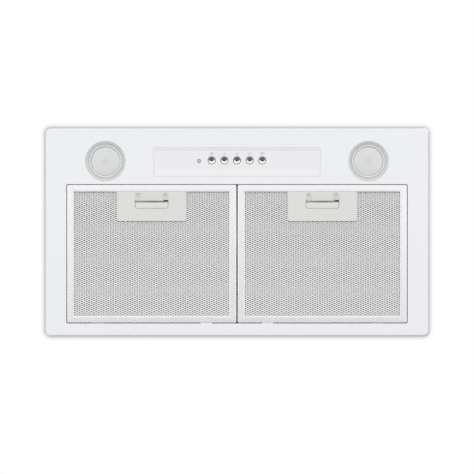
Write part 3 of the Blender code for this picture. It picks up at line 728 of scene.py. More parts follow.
for side, sign in SIDES:
    for node, name, profile, finish in (
        ("lamp_bezel_", "lamp_cup_", cup, SHADED_CUP), ("lamp_ring_", "lamp_rim_", ring_profile, RIM),
        ("lamp_glass_", "lamp_diffuser_", glass, GLASS),
        ("lamp_holder_", "lamp_socket_", holder, GREY),
    ):
        mesh = turned_mesh(profile, (sign * LAMP_X, LAMP_Y, 0), "Z", 72)
        add_piece(name + side, mesh, finish, node + side)
print("lamps ready")

# %% [markdown]
# ## Geometry Nodes helpers
# What repeats is left to Geometry Nodes. `GeometryTree` builds a tree with named inputs, and
# `grow` runs it on a mesh and gives back a plain mesh.

# %% Geometry Nodes helpers
class GeometryTree(Recipe):
    """A Geometry Nodes tree with named inputs."""

    def __init__(self, name, inputs):
        tree = bpy.data.node_groups.new(name, "GeometryNodeTree")
        tree.interface.new_socket("Geometry", in_out="INPUT", socket_type="NodeSocketGeometry")
        for label, kind in inputs.items():
            tree.interface.new_socket(label, in_out="INPUT", socket_type="NodeSocket" + kind)
        tree.interface.new_socket("Geometry", in_out="OUTPUT", socket_type="NodeSocketGeometry")
        super().__init__(tree)
        self.given = self.node("NodeGroupInput")

    def input(self, label):
        return self.number(self.given, label)

    def end(self, parts, material):
        """Joins the parts, realizes them and gives them their material."""
        join = self.node("GeometryNodeJoinGeometry")
        for part in parts:
            self.tree.links.new(part, join.inputs[0])
        real = self.node("GeometryNodeRealizeInstances", None, {0: join.outputs[0]})
        paint = self.node("GeometryNodeSetMaterial", None, {"Geometry": real.outputs[0]})
        if isinstance(material, Number):
            self.tree.links.new(material.socket, paint.inputs["Material"])
        else:
            paint.inputs["Material"].default_value = material
        out = self.node("NodeGroupOutput")
        self.tree.links.new(paint.outputs[0], out.inputs[0])
        return self


def grow(mesh, tree, **values):
    """Runs the tree on the mesh, or on nothing, with these inputs; returns what has grown."""
    item = new_object("seed", mesh or bpy.data.meshes.new("seed"))
    modifier = item.modifiers.new("grow", "NODES")
    modifier.node_group = tree.tree
    sockets = {
        part.name: part.identifier for part in tree.tree.interface.items_tree
        if part.in_out == "INPUT"
    }
    for label, value in values.items():
        modifier[sockets[label.replace("_", " ")]] = value
    return evaluated(item)


# %% [markdown]
# ## Expanded metal
# Expanded metal is slit and stretched, so each strand is a ribbon twisted out of the sheet. One V of
# two ribbons, set at every other point of a lattice, covers every edge of the pattern once.

# %% Strands
LONG_WAY = 6.16 * MM  # pitch along X
SHORT_WAY = 2.65 * MM  # pitch along Y
STRAND = 1.02 * MM
STRAND_THICK = 0.28 * MM
BOND = 0.30  # half length of a bond, as a share of the long way
TWIST = math.radians(-24)


def ribbon(shape, start, stop, width):
    """A four-sided strand from start to stop, twisted about its own length."""
    along = (stop - start).normalized()
    side = along.cross(Vector((0, 0, 1)))
    turn = Matrix.Rotation(TWIST, 3, along)
    across = turn @ side * (width / 2)
    through = turn @ Vector((0, 0, 1)) * (STRAND_THICK / 2)
    corners = (across + through, across - through, -across - through, through - across)
    ends = [[shape.verts.new(point + corner) for corner in corners] for point in (start, stop)]
    bridge(shape, *ends)
    shape.faces.new(list(reversed(ends[0])))
    shape.faces.new(ends[1])


def strand_pair(long_way, short_way, bonded):
    """Two strands of a diamond, and the wide bond where four of them meet."""
    shape = bmesh.new()
    for sign in (-1, 1):
        stop = Vector((long_way / 2, sign * short_way / 2, 0))
        ribbon(shape, Vector((0, 0, 0)), stop, STRAND)
    if bonded:
        reach = Vector((BOND * long_way, 0, 0))
        ribbon(shape, -reach, reach, 1.7 * STRAND)
    bmesh.ops.recalc_face_normals(shape, faces=shape.faces)
    return as_mesh(shape)


# %% Expanded metal
def expanded_tree():
    tree = GeometryTree("expanded_metal", {
        "Width": "Float", "Depth": "Float", "Long Way": "Float", "Short Way": "Float",
        "Notch Half Width": "Float", "Notch Rear": "Float", "Strands": "Object",
    })
    long_way = tree.input("Long Way")
    short_way = tree.input("Short Way")
    info = tree.node("GeometryNodeObjectInfo", None, {0: tree.input("Strands")})
    where = tree.node("GeometryNodeInputPosition")
    parts = []
    for shift in (0.0, 0.5):
        columns = (tree.input("Width") / long_way).math("FLOOR")
        rows = (tree.input("Depth") / short_way).math("FLOOR")
        grid = tree.node("GeometryNodeMeshGrid", None, {
            "Size X": columns * long_way, "Size Y": rows * short_way,
            "Vertices X": columns + 1, "Vertices Y": rows + 1,
        })
        offset = tree.node("ShaderNodeCombineXYZ", None, {
            "X": long_way * (shift - 0.5), "Y": short_way * shift,
        })
        moved = tree.node("GeometryNodeSetPosition", None, {
            "Geometry": grid.outputs["Mesh"], "Offset": offset.outputs[0],
        })
        axes = tree.node("ShaderNodeSeparateXYZ", None, {0: where.outputs[0]})
        x_out = (tree.number(axes, "X") + 0.25 * long_way).math("ABSOLUTE").math(
            "GREATER_THAN", tree.input("Notch Half Width")
        )
        y_out = tree.number(axes, "Y").math("GREATER_THAN", tree.input("Notch Rear"))
        copies = tree.node("GeometryNodeInstanceOnPoints", None, {
            "Points": moved.outputs[0], "Selection": x_out.math("MAXIMUM", y_out),
            "Instance": info.outputs["Geometry"],
        })
        parts.append(copies.outputs[0])
    return tree.end(parts, MESH_METAL)


EXPANDED = expanded_tree()
CORE_LONG = 1.35 * LONG_WAY
CORE_SHORT = 1.5 * SHORT_WAY
face_strands = new_object("face_strands", strand_pair(LONG_WAY, SHORT_WAY, True))
back_strands = new_object("back_strands", strand_pair(LONG_WAY, SHORT_WAY, False))
core_strands = new_object("core_strands", strand_pair(CORE_LONG, CORE_SHORT, False))
print("expanded metal ready")

# %% [markdown]
# ## Filters
# A filter is a rolled aluminium channel with mitred corners round three layers of metal mesh. The
# handle is a moulded plate with a finger scoop, and the latch slides in it.

# %% Filter frame and mesh
BAR = 9.2 * MM
BAR_REAR = 116.5 * MM  # the hinge tabs reach further
SHOWN_Z = 2.05 * MM  # what lies below this height is the side that shows
REAR_LEAN = 0.022  # the rear bar leans back, so it is a little darker
OUTER_LEAN = 0.025  # the outer bar leans out, towards the brighter side
TAB_X = 70 * MM
TAB_HALF = 7 * MM


def frame_mesh(side, sign):
    low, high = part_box("filter_frame_" + side)
    middle = ((low.x + high.x) / 2, (low.y + BAR_REAR) / 2)
    outline = rounded_rectangle(middle, high.x - low.x, BAR_REAR - low.y, 1.6 * MM, 4)
    section = [(0, 8.9), (0, 2.1), (-0.1, 1.6), (-0.35, 1.22), (-0.75, 0.99), (-1.1, 0.93)]
    section += [(-1.6, 0.92), (-4.4, 0.92), (-8.0, 0.92), (-8.6, 0.97), (-8.95, 1.12)]
    section += [(-9.15, 1.4), (-9.2, 2.4), (-8.7, 2.4), (-6.0, 1.8), (-1.0, 2.0), (-0.9, 8.1)]
    section += [(-9.2, 8.1), (-9.2, 8.9)]
    shape = bmesh.new()
    first, last = walk(shape, outline, in_mm(section))
    bridge(shape, last, first)
    half = (high.x - low.x) / 2
    for vert in shape.verts:
        if vert.co.z < SHOWN_Z:
            outward = sign * (vert.co.x - middle[0])
            vert.co.z += REAR_LEAN * max(0.0, vert.co.y - BAR_REAR + BAR)
            vert.co.z += OUTER_LEAN * max(0.0, outward - half + BAR)
    for way, z in ((-sign, 1.55 * MM), (sign, 3.6 * MM)):
        x = middle[0] + way * TAB_X
        slab(
            shape, (x - TAB_HALF, BAR_REAR - 3 * MM, z), (x + TAB_HALF, high.y, z + 1.0 * MM)
        )
    return finish_shape(shape, 30)


def sheet_mesh(node, z, long_way, short_way, strands):
    """One layer of expanded metal with room for the handle."""
    low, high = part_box(node)
    handle_low, handle_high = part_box("filter_handle_left")
    middle, size = (low + high) / 2, high - low
    mesh = grow(
        None, EXPANDED, Width=size.x - 3 * MM, Depth=size.y - 3 * MM, Strands=strands,
        Long_Way=long_way, Short_Way=short_way,
        Notch_Half_Width=(handle_high.x - handle_low.x) / 2 - 0.5 * MM,
        Notch_Rear=handle_high.y - middle.y - 0.5 * MM
    )
    mesh.transform(Matrix.Translation((middle.x, middle.y, z)))
    return mesh


LAYERS = (
    ("face", 2.65 * MM, LONG_WAY, SHORT_WAY, face_strands, MESH_METAL),
    ("core", 4.9 * MM, CORE_LONG, CORE_SHORT, core_strands, SHADED_CORE_METAL),
    ("back", 7.4 * MM, LONG_WAY, SHORT_WAY, back_strands, MESH_METAL),
)
for side, sign in SIDES:
    body = side + "_filter"
    rim_mesh = frame_mesh(side, sign)
    add_piece("filter_rim_" + side, rim_mesh, FRAME_METAL, "filter_frame_" + side, body)
    for layer, z, long_way, short_way, strands, metal in LAYERS:
        node = "filter_" + layer + "_" + side
        name = layer + "_mesh_" + side
        mesh = sheet_mesh(node, z, long_way, short_way, strands)
        add_piece(name, mesh, metal, node, body)
        print(name, len(mesh.polygons), "faces")
for unit in (face_strands, core_strands, back_strands):
    bpy.data.objects.remove(unit)

# %% Tubes
def tube_mesh(points, diameter, smooth=False):
    """A round tube through the points, straight or smooth between them, as a closed mesh."""
    curve = bpy.data.curves.new("tube", "CURVE")
    curve.dimensions = "3D"
    curve.bevel_depth = diameter / 2
    curve.bevel_resolution = 3 if smooth else 1
    curve.use_fill_caps = True
    curve.resolution_u = 6
    line = curve.splines.new("BEZIER" if smooth else "POLY")
    stops = line.bezier_points if smooth else line.points
    stops.add(len(points) - 1)
    for stop, place in zip(stops, points):
        stop.co = place if smooth else (*place, 1)
        if smooth:
            stop.handle_left_type = "AUTO"
            stop.handle_right_type = "AUTO"
    return finish_shape(shape_of([evaluated(new_object("tube", curve))]), 60)


# %% Handle
HANDLE_EDGE = 0.6 * MM
WINDOW_W = 42.8 * MM
WINDOW_FRONT = -50.0 * MM
WINDOW_REAR = -30.0 * MM
SLOT_FRONT = -40.2 * MM
PLATE_Z = 1.1 * MM
LOBE_W = 8.6 * MM
LOBE_DEPTH = 4.4 * MM
NOTCH = 0.8 * MM  # the slot is wider at its right end
NOTCH_W = 7 * MM


def handle_mesh(side):
    low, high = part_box("filter_handle_" + side)
    front = low.y - 0.7 * MM  # the frame's bar is rolled over this edge
    middle = ((low.x + high.x) / 2, (front + high.y) / 2)
    shape = bmesh.new()
    plate = rounded_rectangle(middle, high.x - low.x, high.y - front, (2.2 * MM, 0.8 * MM))
    window = rounded_rectangle(
        (middle[0], (WINDOW_FRONT + WINDOW_REAR) / 2), WINDOW_W, WINDOW_REAR - WINDOW_FRONT,
        (3.0 * MM, 1.2 * MM)
    )
    outer = [(-HANDLE_EDGE - 0.4 * MM, PLATE_Z)]
    outer += arc((-HANDLE_EDGE, PLATE_Z + HANDLE_EDGE), HANDLE_EDGE, -90, 0, 4)
    outer.append((0, 8.0 * MM))
    plate_ring = walk(shape, plate, outer)[0]
    window_ring = walk(shape, window, [
        (0.8 * MM, PLATE_Z), (0.35 * MM, PLATE_Z), (0.1 * MM, PLATE_Z + 0.07 * MM),
        (0, PLATE_Z + 0.25 * MM), (0, PLATE_Z + 0.5 * MM)
    ])[0]
    fill(shape, [plate_ring, window_ring])
    mesh = finish_shape(shape, 40)
    return give_thickness(mesh, (0, 0, -1), 0.55 * MM), middle[0]


def scoop_mesh(middle_x):
    """The finger scoop: a ramp to the slot, hollowed at both ends, and the box behind it."""
    across, along = 44, 12
    half = WINDOW_W / 2 + 0.3 * MM
    shape = bmesh.new()
    sheets = []
    for thickness in (0, 0.8 * MM):
        rows = []
        for j in range(along + 1):
            share = j / along
            base = PLATE_Z - 0.02 * MM + 1.1 * MM * share ** 1.3
            row = []
            for i in range(across + 1):
                x = -half + 2 * half * i / across
                wide = NOTCH * max(0.0, min(1.0, (x - half + NOTCH_W) / (2 * MM)))
                y = WINDOW_FRONT - 0.6 * MM
                y += (SLOT_FRONT - WINDOW_FRONT + 0.6 * MM - wide) * share
                place = (abs(x) - half + LOBE_W) / LOBE_W
                lobe = math.sin(math.pi * max(0.0, min(1.0, place))) ** 2
                z = base + LOBE_DEPTH * lobe * (1 - 0.35 * share) * min(1.0, 2.4 * share)
                row.append(shape.verts.new((middle_x + x, y, z + thickness)))
            rows.append(row)
        for first, second in zip(rows, rows[1:]):
            bridge(shape, first, second, closed=False)
        border = rows[0] + [row[-1] for row in rows[1:]]
        border += list(reversed(rows[-1][:-1])) + [row[0] for row in reversed(rows[1:-1])]
        sheets.append(border)
    bridge(shape, *sheets)
    scoop = finish_shape(shape, 50)
    x0, x1 = middle_x - half - 1.5 * MM, middle_x + half + 1.5 * MM
    y0, y1 = -41.2 * MM, -22.6 * MM
    z0, z1, z2 = 2.3 * MM, 6.95 * MM, 7.2 * MM
    open_end = x1 - 8.5 * MM  # the box is open above the slot's right end
    box = slabs_mesh([
        ((x0, y0, z1), (open_end, y1, 8.0 * MM)),
        ((open_end, y0 + 1.9 * MM, z1), (x1, y1, 8.0 * MM)),
        ((x0, y0, z0), (x0 + 0.9 * MM, y1, z2)),
        ((x1 - 0.9 * MM, y0, z0), (x1, y1, z2)),
        ((x0, y1 - 0.9 * MM, z0), (x1, y1, z2)),
    ], 0.2 * MM, 1)
    return merge([scoop, box])


# %% Latch
TAB_FRONT = -37.8 * MM
TAB_Z = 1.8 * MM  # clear of the plate, because the tab slides under it
LATCH_TOP = 6.3 * MM
TONGUE_HALF = 5 * MM
SPRING_X = 14 * MM
SPRING_R = 1.3 * MM
SPRING_Z = 5.0 * MM
SPRING_LENGTH = 6.8 * MM


def latch_mesh(side, middle_x):
    low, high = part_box("filter_latch_" + side)
    rear = WINDOW_REAR - 0.12 * MM
    outline = rounded_rectangle(
        (middle_x, (TAB_FRONT + rear) / 2), WINDOW_W - 0.24 * MM, rear - TAB_FRONT,
        (2.9 * MM, 0.6 * MM)
    )
    shape = bmesh.new()
    for ring in walk(shape, outline, [
        (-0.9 * MM, TAB_Z), (-0.3 * MM, TAB_Z + 0.12 * MM), (0, TAB_Z + 0.45 * MM),
        (0, TAB_Z + 1.3 * MM), (-0.3 * MM, TAB_Z + 1.6 * MM)
    ]):
        shape.faces.new(ring)
    slab(
        shape, (low.x, TAB_FRONT + 0.1 * MM, TAB_Z + 0.8 * MM),
        (high.x, TAB_FRONT + 2.0 * MM, LATCH_TOP)
    )
    return finish_shape(shape, 40)


def spring_mesh(x):
    """A coil along Y, with a straight end in the latch."""
    turns, per_turn = 5, 10
    coil = [(x, TAB_FRONT + 1.8 * MM, SPRING_Z)]
    for i in range(turns * per_turn + 1):
        angle = 2 * math.pi * i / per_turn
        coil.append((
            x + SPRING_R * math.cos(angle),
            TAB_FRONT + 2.2 * MM + SPRING_LENGTH * i / (turns * per_turn),
            SPRING_Z + SPRING_R * math.sin(angle),
        ))
    return tube_mesh(coil, 0.4 * MM)


for side, sign in SIDES:
    latch = side + "_latch"
    mesh, x = handle_mesh(side)
    add_piece("filter_grip_" + side, mesh, HANDLE, "filter_handle_" + side, side + "_filter")
    name = "finger_scoop_" + side
    add_piece(name, scoop_mesh(x), HANDLE, None, side + "_filter")
    add_piece(
        "latch_slider_" + side, latch_mesh(side, x), HANDLE, "filter_latch_" + side, latch
    )
    # The tongue takes the darker grey plastic, not the slider's: painted shade where it shows
    # through the slot.
    tongue = slabs_mesh([(
        (x - TONGUE_HALF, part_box("filter_latch_" + side)[0].y, 5.1 * MM),
        (x + TONGUE_HALF, TAB_FRONT + MM, LATCH_TOP)
    )], sharp=40)
    add_piece("latch_tongue_" + side, tongue, GREY, None, latch)
    springs = merge([spring_mesh(x - SPRING_X), spring_mesh(x + SPRING_X)])
    add_piece("latch_springs_" + side, springs, CHROME, None, latch)
print("handles, latches and springs ready")

# %% [markdown]
# ## Air chamber
# The box above the face is galvanised sheet. The side walls fold round the corners and are riveted
# there, and the lid is a pan with its edges turned down and screwed on.

# %% Air chamber
WALL = 0.9 * MM
HOUSE_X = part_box("housing_right")[1].x - 7 * MM
HOUSE_Y = 122.0 * MM
HOUSE_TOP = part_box("housing_top")[1].z
HOUSE_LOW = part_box("housing_front")[0].z
WALL_TOP = HOUSE_TOP - 2.5 * MM
FOOT = 7 * MM  # how far the feet stand out
LID_OUT = 1.6 * MM
LID_SKIRT = 12 * MM
WRAP = 14 * MM
SUPPLY_HOLE = circle((-150 * MM, -82 * MM), 5 * MM, 24)


def fold(corner, first, last, radius, steps=5):
    """Points of a bend at corner between the directions first and last, both unit vectors."""
    corner, first, last = Vector(corner), Vector(first), Vector(last)
    centre = corner + (first + last) * radius
    points = []
    for i in range(steps + 1):
        angle = math.pi / 2 * i / steps
        points.append(centre - last * radius * math.cos(angle) - first * radius * math.sin(angle))
    return points


def side_wall(sign):
    """A wall that wraps round both corners, and its foot on the face."""
    x = sign * (HOUSE_X + 0.2 * MM)
    y = HOUSE_Y + 1.0 * MM
    inward = (-sign, 0)
    points = [Vector((x - sign * WRAP, -y))]
    points += fold((x, -y), inward, (0, 1), 1.6 * MM)
    points += reversed(fold((x, y), inward, (0, -1), 1.6 * MM))
    points.append(Vector((x - sign * WRAP, y)))
    shape = bmesh.new()
    bridge(shape, *[
        [shape.verts.new((*point, z)) for point in points] for z in (16 * MM, WALL_TOP)
    ], closed=False)
    bmesh.ops.recalc_face_normals(shape, faces=shape.faces)
    wall = give_thickness(as_mesh(shape), (sign, 0, 0), WALL)
    inner, outer = x - sign * WALL, sign * (HOUSE_X + FOOT)
    y0, y1 = HOUSE_Y - 2 * MM, HOUSE_Y - 20 * MM
    foot = slabs_mesh([
        ((inner, -y0, HOUSE_LOW), (x, y0, 18 * MM)),
        ((inner, -y1, HOUSE_LOW), (outer, y1, HOUSE_LOW + WALL)),
    ], 0.3 * MM)
    return merge([wall, foot])


def long_wall(sign):
    """A straight wall with its foot and two pressed beads."""
    inner, y = sign * (HOUSE_Y - WALL), sign * HOUSE_Y
    x0, x1 = HOUSE_X - MM, HOUSE_X - 20 * MM
    shape = bmesh.new()
    slab(shape, (-x0, inner, HOUSE_LOW), (x0, y, WALL_TOP), 0.3 * MM)
    outer = sign * (HOUSE_Y + FOOT)
    slab(shape, (-x1, inner, HOUSE_LOW), (x1, outer, HOUSE_LOW + WALL), 0.3 * MM)
    upright = Matrix(((1, 0, 0, 0), (0, 0, sign, 0), (0, 1, 0, 0), (0, 0, 0, 1)))
    for z in (62 * MM, 118 * MM):
        bead = bmesh.new()
        stations = [(0.6 * MM, 0)] + arc((-3.0 * MM, -1.6 * MM), 3.4 * MM, 28, 90, 5)
        outline = rounded_rectangle((0, z), 330 * MM, 9 * MM, 4.4 * MM, 6)
        bead.faces.new(walk(bead, outline, stations)[1])
        bead.transform(Matrix.Translation((0, sign * (HOUSE_Y - 0.05 * MM), 0)) @ upright)
        shape.from_mesh(as_mesh(bead))
    holes = [edge for edge in shape.edges if edge.is_boundary]
    bmesh.ops.holes_fill(shape, edges=holes)
    return finish_shape(shape, 40)


# %% Lid
def lid_mesh():
    """A pan with a hole for the duct and one for the supply."""
    shape = bmesh.new()
    outline = rounded_rectangle(
        (0, 0), 2 * (HOUSE_X + LID_OUT), 2 * (HOUSE_Y + LID_OUT + 0.5 * MM), 3.0 * MM
    )
    bend = 1.8 * MM
    stations = [(-bend - 0.5 * MM, HOUSE_TOP)] + arc((-bend, HOUSE_TOP - bend), bend, 90, 0, 5)
    stations.append((0, HOUSE_TOP - LID_SKIRT))
    rings = [walk(shape, outline, stations)[0]]
    outlet = rounded_rectangle((0, 52 * MM), 107 * MM, 63 * MM, 3 * MM)
    for hole in (outlet, SUPPLY_HOLE):
        rings.append(walk(shape, hole, [(0.4 * MM, HOUSE_TOP), (0, HOUSE_TOP)])[0])
    fill(shape, rings)
    return give_thickness(finish_shape(shape), (0, 0, 1), WALL)


for side, sign in SIDES:
    add_piece("side_wall_" + side, side_wall(sign), ZINC, "housing_" + side)
for end, sign in (("front", -1), ("rear", 1)):
    name = "long_wall_" + end
    add_piece(name, long_wall(sign), ZINC, "housing_" + end)
add_piece("lid", lid_mesh(), ZINC, "housing_top")

# %% Service partition and brackets
part_low, part_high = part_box("service_partition")
screen = slabs_mesh([
    ((part_low.x, part_high.y - WALL, part_low.z), part_high),
    ((part_low.x, part_low.y, part_high.z - WALL), part_high),
])
add_piece("service_screen", screen, ZINC, "service_partition")


def bracket_mesh(side, sign):
    """An angle bracket with a slotted foot and two gussets."""
    low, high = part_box("fixing_bracket_" + side)
    inner, outer = (low.x, high.x) if sign > 0 else (high.x, low.x)
    thick = 1.5 * MM
    slot_x = inner + sign * 9.2 * MM
    edges = [slot_x + sign * offset * MM for offset in (-2.7, -2.5, 2.5, 2.7)]
    shape = bmesh.new()
    slab(shape, (inner, low.y, low.z), (inner + sign * thick, high.y, high.z), 0.5 * MM)
    for x0, x1, y0, y1 in (
        (inner, edges[1], low.y, high.y), (edges[2], outer, low.y, high.y),
        (edges[0], edges[3], low.y, -12 * MM), (edges[0], edges[3], 12 * MM, high.y),
    ):
        slab(shape, (x0, y0, low.z), (x1, y1, low.z + thick), 0.25 * MM, 1)
    for y in (-15 * MM, 15 * MM):
        slab(
            shape, (inner, y - 0.8 * MM, low.z),
            (inner + sign * 8 * MM, y + 0.8 * MM, low.z + 9 * MM), 0.3 * MM, 1
        )
    return finish_shape(shape)


for side, sign in SIDES:
    add_piece(
        "cabinet_bracket_" + side, bracket_mesh(side, sign), ZINC, "fixing_bracket_" + side
    )
print("air chamber ready")

# %% [markdown]
# ## Copies in a ring and copies on spots
# Two small trees make the small repeated parts. `RING` turns copies of a unit about its own Z axis.
# `SPOTS` puts a copy on every vertex of a mesh, all turned the same way.

# %% Ring and spots
def copies_tree(name, inputs, points_and_turns):
    """A tree that copies a unit; points_and_turns(tree) says where and how each is turned."""
    tree = GeometryTree(name, {**inputs, "Unit": "Object", "Finish": "Material"})
    points, turns = points_and_turns(tree)
    info = tree.node("GeometryNodeObjectInfo", None, {0: tree.input("Unit")})
    copies = tree.node("GeometryNodeInstanceOnPoints", None, {
        "Points": points, "Instance": info.outputs["Geometry"], "Rotation": turns,
    })
    return tree.end([copies.outputs[0]], tree.input("Finish"))


def turned_about_z(tree):
    count = tree.input("Count")
    points = tree.node("GeometryNodePoints", None, {"Count": count})
    turn = tree.number(tree.node("GeometryNodeInputIndex")) * (2 * math.pi) / count
    turns = tree.node("ShaderNodeCombineXYZ", None, {"Z": turn + tree.input("Start")})
    return points.outputs[0], turns.outputs[0]


def turned_alike(tree):
    return tree.given.outputs["Geometry"], tree.input("Turn")


RING = copies_tree("ring_of_copies", {"Count": "Int", "Start": "Float"}, turned_about_z)
SPOTS = copies_tree("copies_on_spots", {"Turn": "Vector"}, turned_alike)
FACING = {  # how to turn a unit that looks along +Z
    "+Z": (0, 0, 0), "-Z": (math.pi, 0, 0), "+X": (0, math.pi / 2, 0),
    "-X": (0, -math.pi / 2, 0), "+Y": (-math.pi / 2, 0, 0), "-Y": (math.pi / 2, 0, 0),
}


def ring_of(unit_mesh, count, finish, centre, axis, start=0.0):
    """Copies of a unit about an axis through centre, as one mesh."""
    unit = new_object("unit", unit_mesh)
    mesh = grow(None, RING, Count=count, Start=start, Unit=unit, Finish=finish)
    bpy.data.objects.remove(unit)
    mesh.transform(Matrix.Translation(centre) @ AXIS_TURN[axis])
    return mesh


def on_spots(unit_mesh, places, facing, finish=CHROME):
    """A copy of a unit at each place, looking along facing."""
    unit = new_object("unit", unit_mesh)
    base = bpy.data.meshes.new("spots")
    base.from_pydata([tuple(place) for place in places], [], [])
    mesh = grow(base, SPOTS, Turn=FACING[facing], Unit=unit, Finish=finish)
    bpy.data.objects.remove(unit)
    return mesh


# %% Screws and rivets
def rivet_head():
    """A domed blind rivet with its hollow middle, 4.6 mm across."""
    profile = [(0, 0.35), (0.55, 0.35), (0.7, 0.75), (1.15, 0.8), (1.85, 0.55), (2.3, 0.0)]
    profile += [(2.3, -0.3), (0, -0.3)]
    return turned_mesh(profile, steps=12)


def pan_screw(radius):
    """A pan-head screw with a cross recess; radius in millimetres."""
    shape = bmesh.new()
    steps = 16
    rings = []
    for share, height in ((1.0, -0.3), (1.0, 0.9), (0.86, 1.6), (0.6, 2.0)):
        points = on_circle(radius * share * MM, steps)
        rings.append([shape.verts.new((*point, height * MM)) for point in points])
    cross = []
    for i in range(steps):  # a star in the middle: four arms, sunk
        arm = 0.46 if i % 4 in (0, 1) else 0.16
        angle = 2 * math.pi * (i - 0.5) / steps
        cross.append((radius * arm * MM * math.cos(angle), radius * arm * MM * math.sin(angle)))
    for share, height in ((1, 2.05), (0.9, 1.0)):
        rings.append([shape.verts.new((share * x, share * y, height * MM)) for x, y in cross])
    for low, high in zip(rings, rings[1:]):
        bridge(shape, low, high)
    shape.faces.new(rings[-1])
    shape.faces.new(list(reversed(rings[0])))
    return finish_shape(shape, 40)


SKIRT_Z = HOUSE_TOP - 6 * MM  # the screws through the lid's skirt
RIVET_Y = HOUSE_Y + 1.0 * MM
SKIRT_Y = HOUSE_Y + LID_OUT + 0.5 * MM
meshes = []
for sign, facing in ((-1, "-Y"), (1, "+Y")):
    corner_rivets = [
        (s * (HOUSE_X - 9 * MM), sign * RIVET_Y, z * MM) for s in (-1, 1) for z in (35, 80, 125)
    ]
    meshes.append(on_spots(rivet_head(), corner_rivets, facing))
    skirt = [(x * MM, sign * SKIRT_Y, SKIRT_Z) for x in (-190, -95, 0, 95, 190)]
    meshes.append(on_spots(pan_screw(2.6), skirt, facing))
for side, sign in SIDES:
    facing = "+X" if sign > 0 else "-X"
    skirt = [(sign * (HOUSE_X + LID_OUT), y * MM, SKIRT_Z) for y in (-85, 0, 85)]
    meshes.append(on_spots(pan_screw(2.6), skirt, facing))
    bracket_low, bracket_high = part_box("fixing_bracket_" + side)
    leaf_x = bracket_high.x - 14.2 * MM if sign > 0 else bracket_low.x + 14.2 * MM
    bolts = [(leaf_x, y * MM, z * MM) for y in (-13, 13) for z in (50, 64)]
    meshes.append(on_spots(pan_screw(3.2), bolts, facing))
add_piece("housing_screws", merge(meshes), CHROME)
print("screws and rivets:", len(meshes), "groups")

# %% [markdown]
# ## Blower
# A double-inlet blower hangs in the chamber: two sheet-metal scroll halves meet on the motor plate,
# and each has a bellmouth where the air enters. The drum impellers carry forward-curved blades.

# %% Scroll
FAN_Y = middle_of("fan_shaft").y
FAN_Z = middle_of("fan_shaft").z
FAN = (0, FAN_Y, FAN_Z)
scroll_low, scroll_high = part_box("scroll_right")
SCROLL_OUT = scroll_high.x
SCROLL_IN = scroll_low.x
SCROLL_TOP = scroll_high.z
SCROLL_R1 = scroll_high.y - FAN_Y
SCROLL_R0 = 60 * MM
TONGUE = math.radians(80)
EYE_R = 45.2 * MM
PLATE_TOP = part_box("motor_plate")[1].z


def scroll_path(top, steps=44):
    """An open outline from the throat round the spiral and up again, as (Y, Z) points."""
    def outline(offset):
        points = [Vector((FAN_Y + SCROLL_R0 * math.cos(TONGUE) - offset, top))]
        for i in range(steps + 1):
            angle = TONGUE + (2 * math.pi - TONGUE) * i / steps
            radius = SCROLL_R0 + (SCROLL_R1 - SCROLL_R0) * i / steps + offset
            points.append(
                Vector((FAN_Y + radius * math.cos(angle), FAN_Z + radius * math.sin(angle)))
            )
        points.append(Vector((FAN_Y + SCROLL_R1 + offset, top)))
        return points
    return outline


def on_fan_plane(sign):
    """Turns (Y, Z, distance from the middle) into world places on one side."""
    return Matrix(((0, 0, sign, 0), (1, 0, 0, 0), (0, 1, 0, 0), (0, 0, 0, 1)))


def scroll_mesh(sign):
    """The shell of one side: the spiral wall, and the outer plate with the eye in it."""
    shape = bmesh.new()
    bend = 2.4 * MM
    stations = [(4.0 * MM, SCROLL_IN + 0.3 * MM), (0.6 * MM, SCROLL_IN + 0.3 * MM)]
    stations += [(0.1 * MM, SCROLL_IN + 0.8 * MM), (0, SCROLL_IN + 1.6 * MM)]
    stations += arc((-bend, SCROLL_OUT - bend), bend, 0, 90, 4)
    stations.append((-bend - SUPPORT, SCROLL_OUT))
    last = walk(shape, scroll_path(SCROLL_TOP), stations, closed=False)[1]
    eye = walk(shape, circle((FAN_Y, FAN_Z), EYE_R, 64), [
        (0.6 * MM, SCROLL_OUT), (0, SCROLL_OUT)
    ])[0]
    fill(shape, [last, eye])
    shape.transform(on_fan_plane(sign))
    mesh = finish_shape(shape)
    return give_thickness(mesh, (sign, 0, 0), 0.9 * MM)


bell = [(52, 62.35), (52, 63.2), (51.7, 63.5), (48.6, 63.5), (46.4, 63.1), (44.6, 62.2)]
bell += [(43.6, 60.8), (43.3, 59.05), (44.0, 59.05), (44.4, 60.5), (45.0, 61.7), (46.6, 62.35)]
for side, sign in SIDES:
    axis = SIDE_AXIS[sign]
    add_piece("scroll_shell_" + side, scroll_mesh(sign), ZINC, "scroll_" + side)
    ring = turned_mesh(bell, FAN, axis)
    head = rivet_head()
    head.transform(Matrix.Translation((49.8 * MM, 0, 63.5 * MM)))
    heads = ring_of(head, 6, ZINC, FAN, axis)
    name = "bellmouth_" + side
    add_piece(name, merge([ring, heads]), ZINC, "inlet_ring_" + side)
print("scroll: outlet", round(SCROLL_TOP / MM, 1), "mm high")

# %% Motor plate
plate = bmesh.new()
path = scroll_path(PLATE_TOP)
fill(plate, [
    [plate.verts.new((*point, 0.85 * MM)) for point in ring]
    for ring in (path(4.0 * MM), circle((FAN_Y, FAN_Z), 38.3 * MM)(0))
])
plate.transform(on_fan_plane(1))
plate_mesh = give_thickness(finish_shape(plate), (1, 0, 0), 1.7 * MM)
seam = [(SCROLL_IN + 0.35 * MM, *point) for point in path(2.2 * MM)[3:-2:5]]
seam_rivets = on_spots(rivet_head(), seam, "+X", ZINC)
add_piece("motor_plate_sheet", merge([plate_mesh, seam_rivets]), ZINC, "motor_plate")

# %% Motor
def fin(length, low, high, thickness):
    """A cooling fin along Z, with its foot towards the axis; all in millimetres."""
    corner = Vector((low, -thickness / 2, -length / 2)) * MM
    other = Vector((high, thickness / 2, length / 2)) * MM
    return slabs_mesh([(corner, other)], 0.3 * MM, 1, 40)


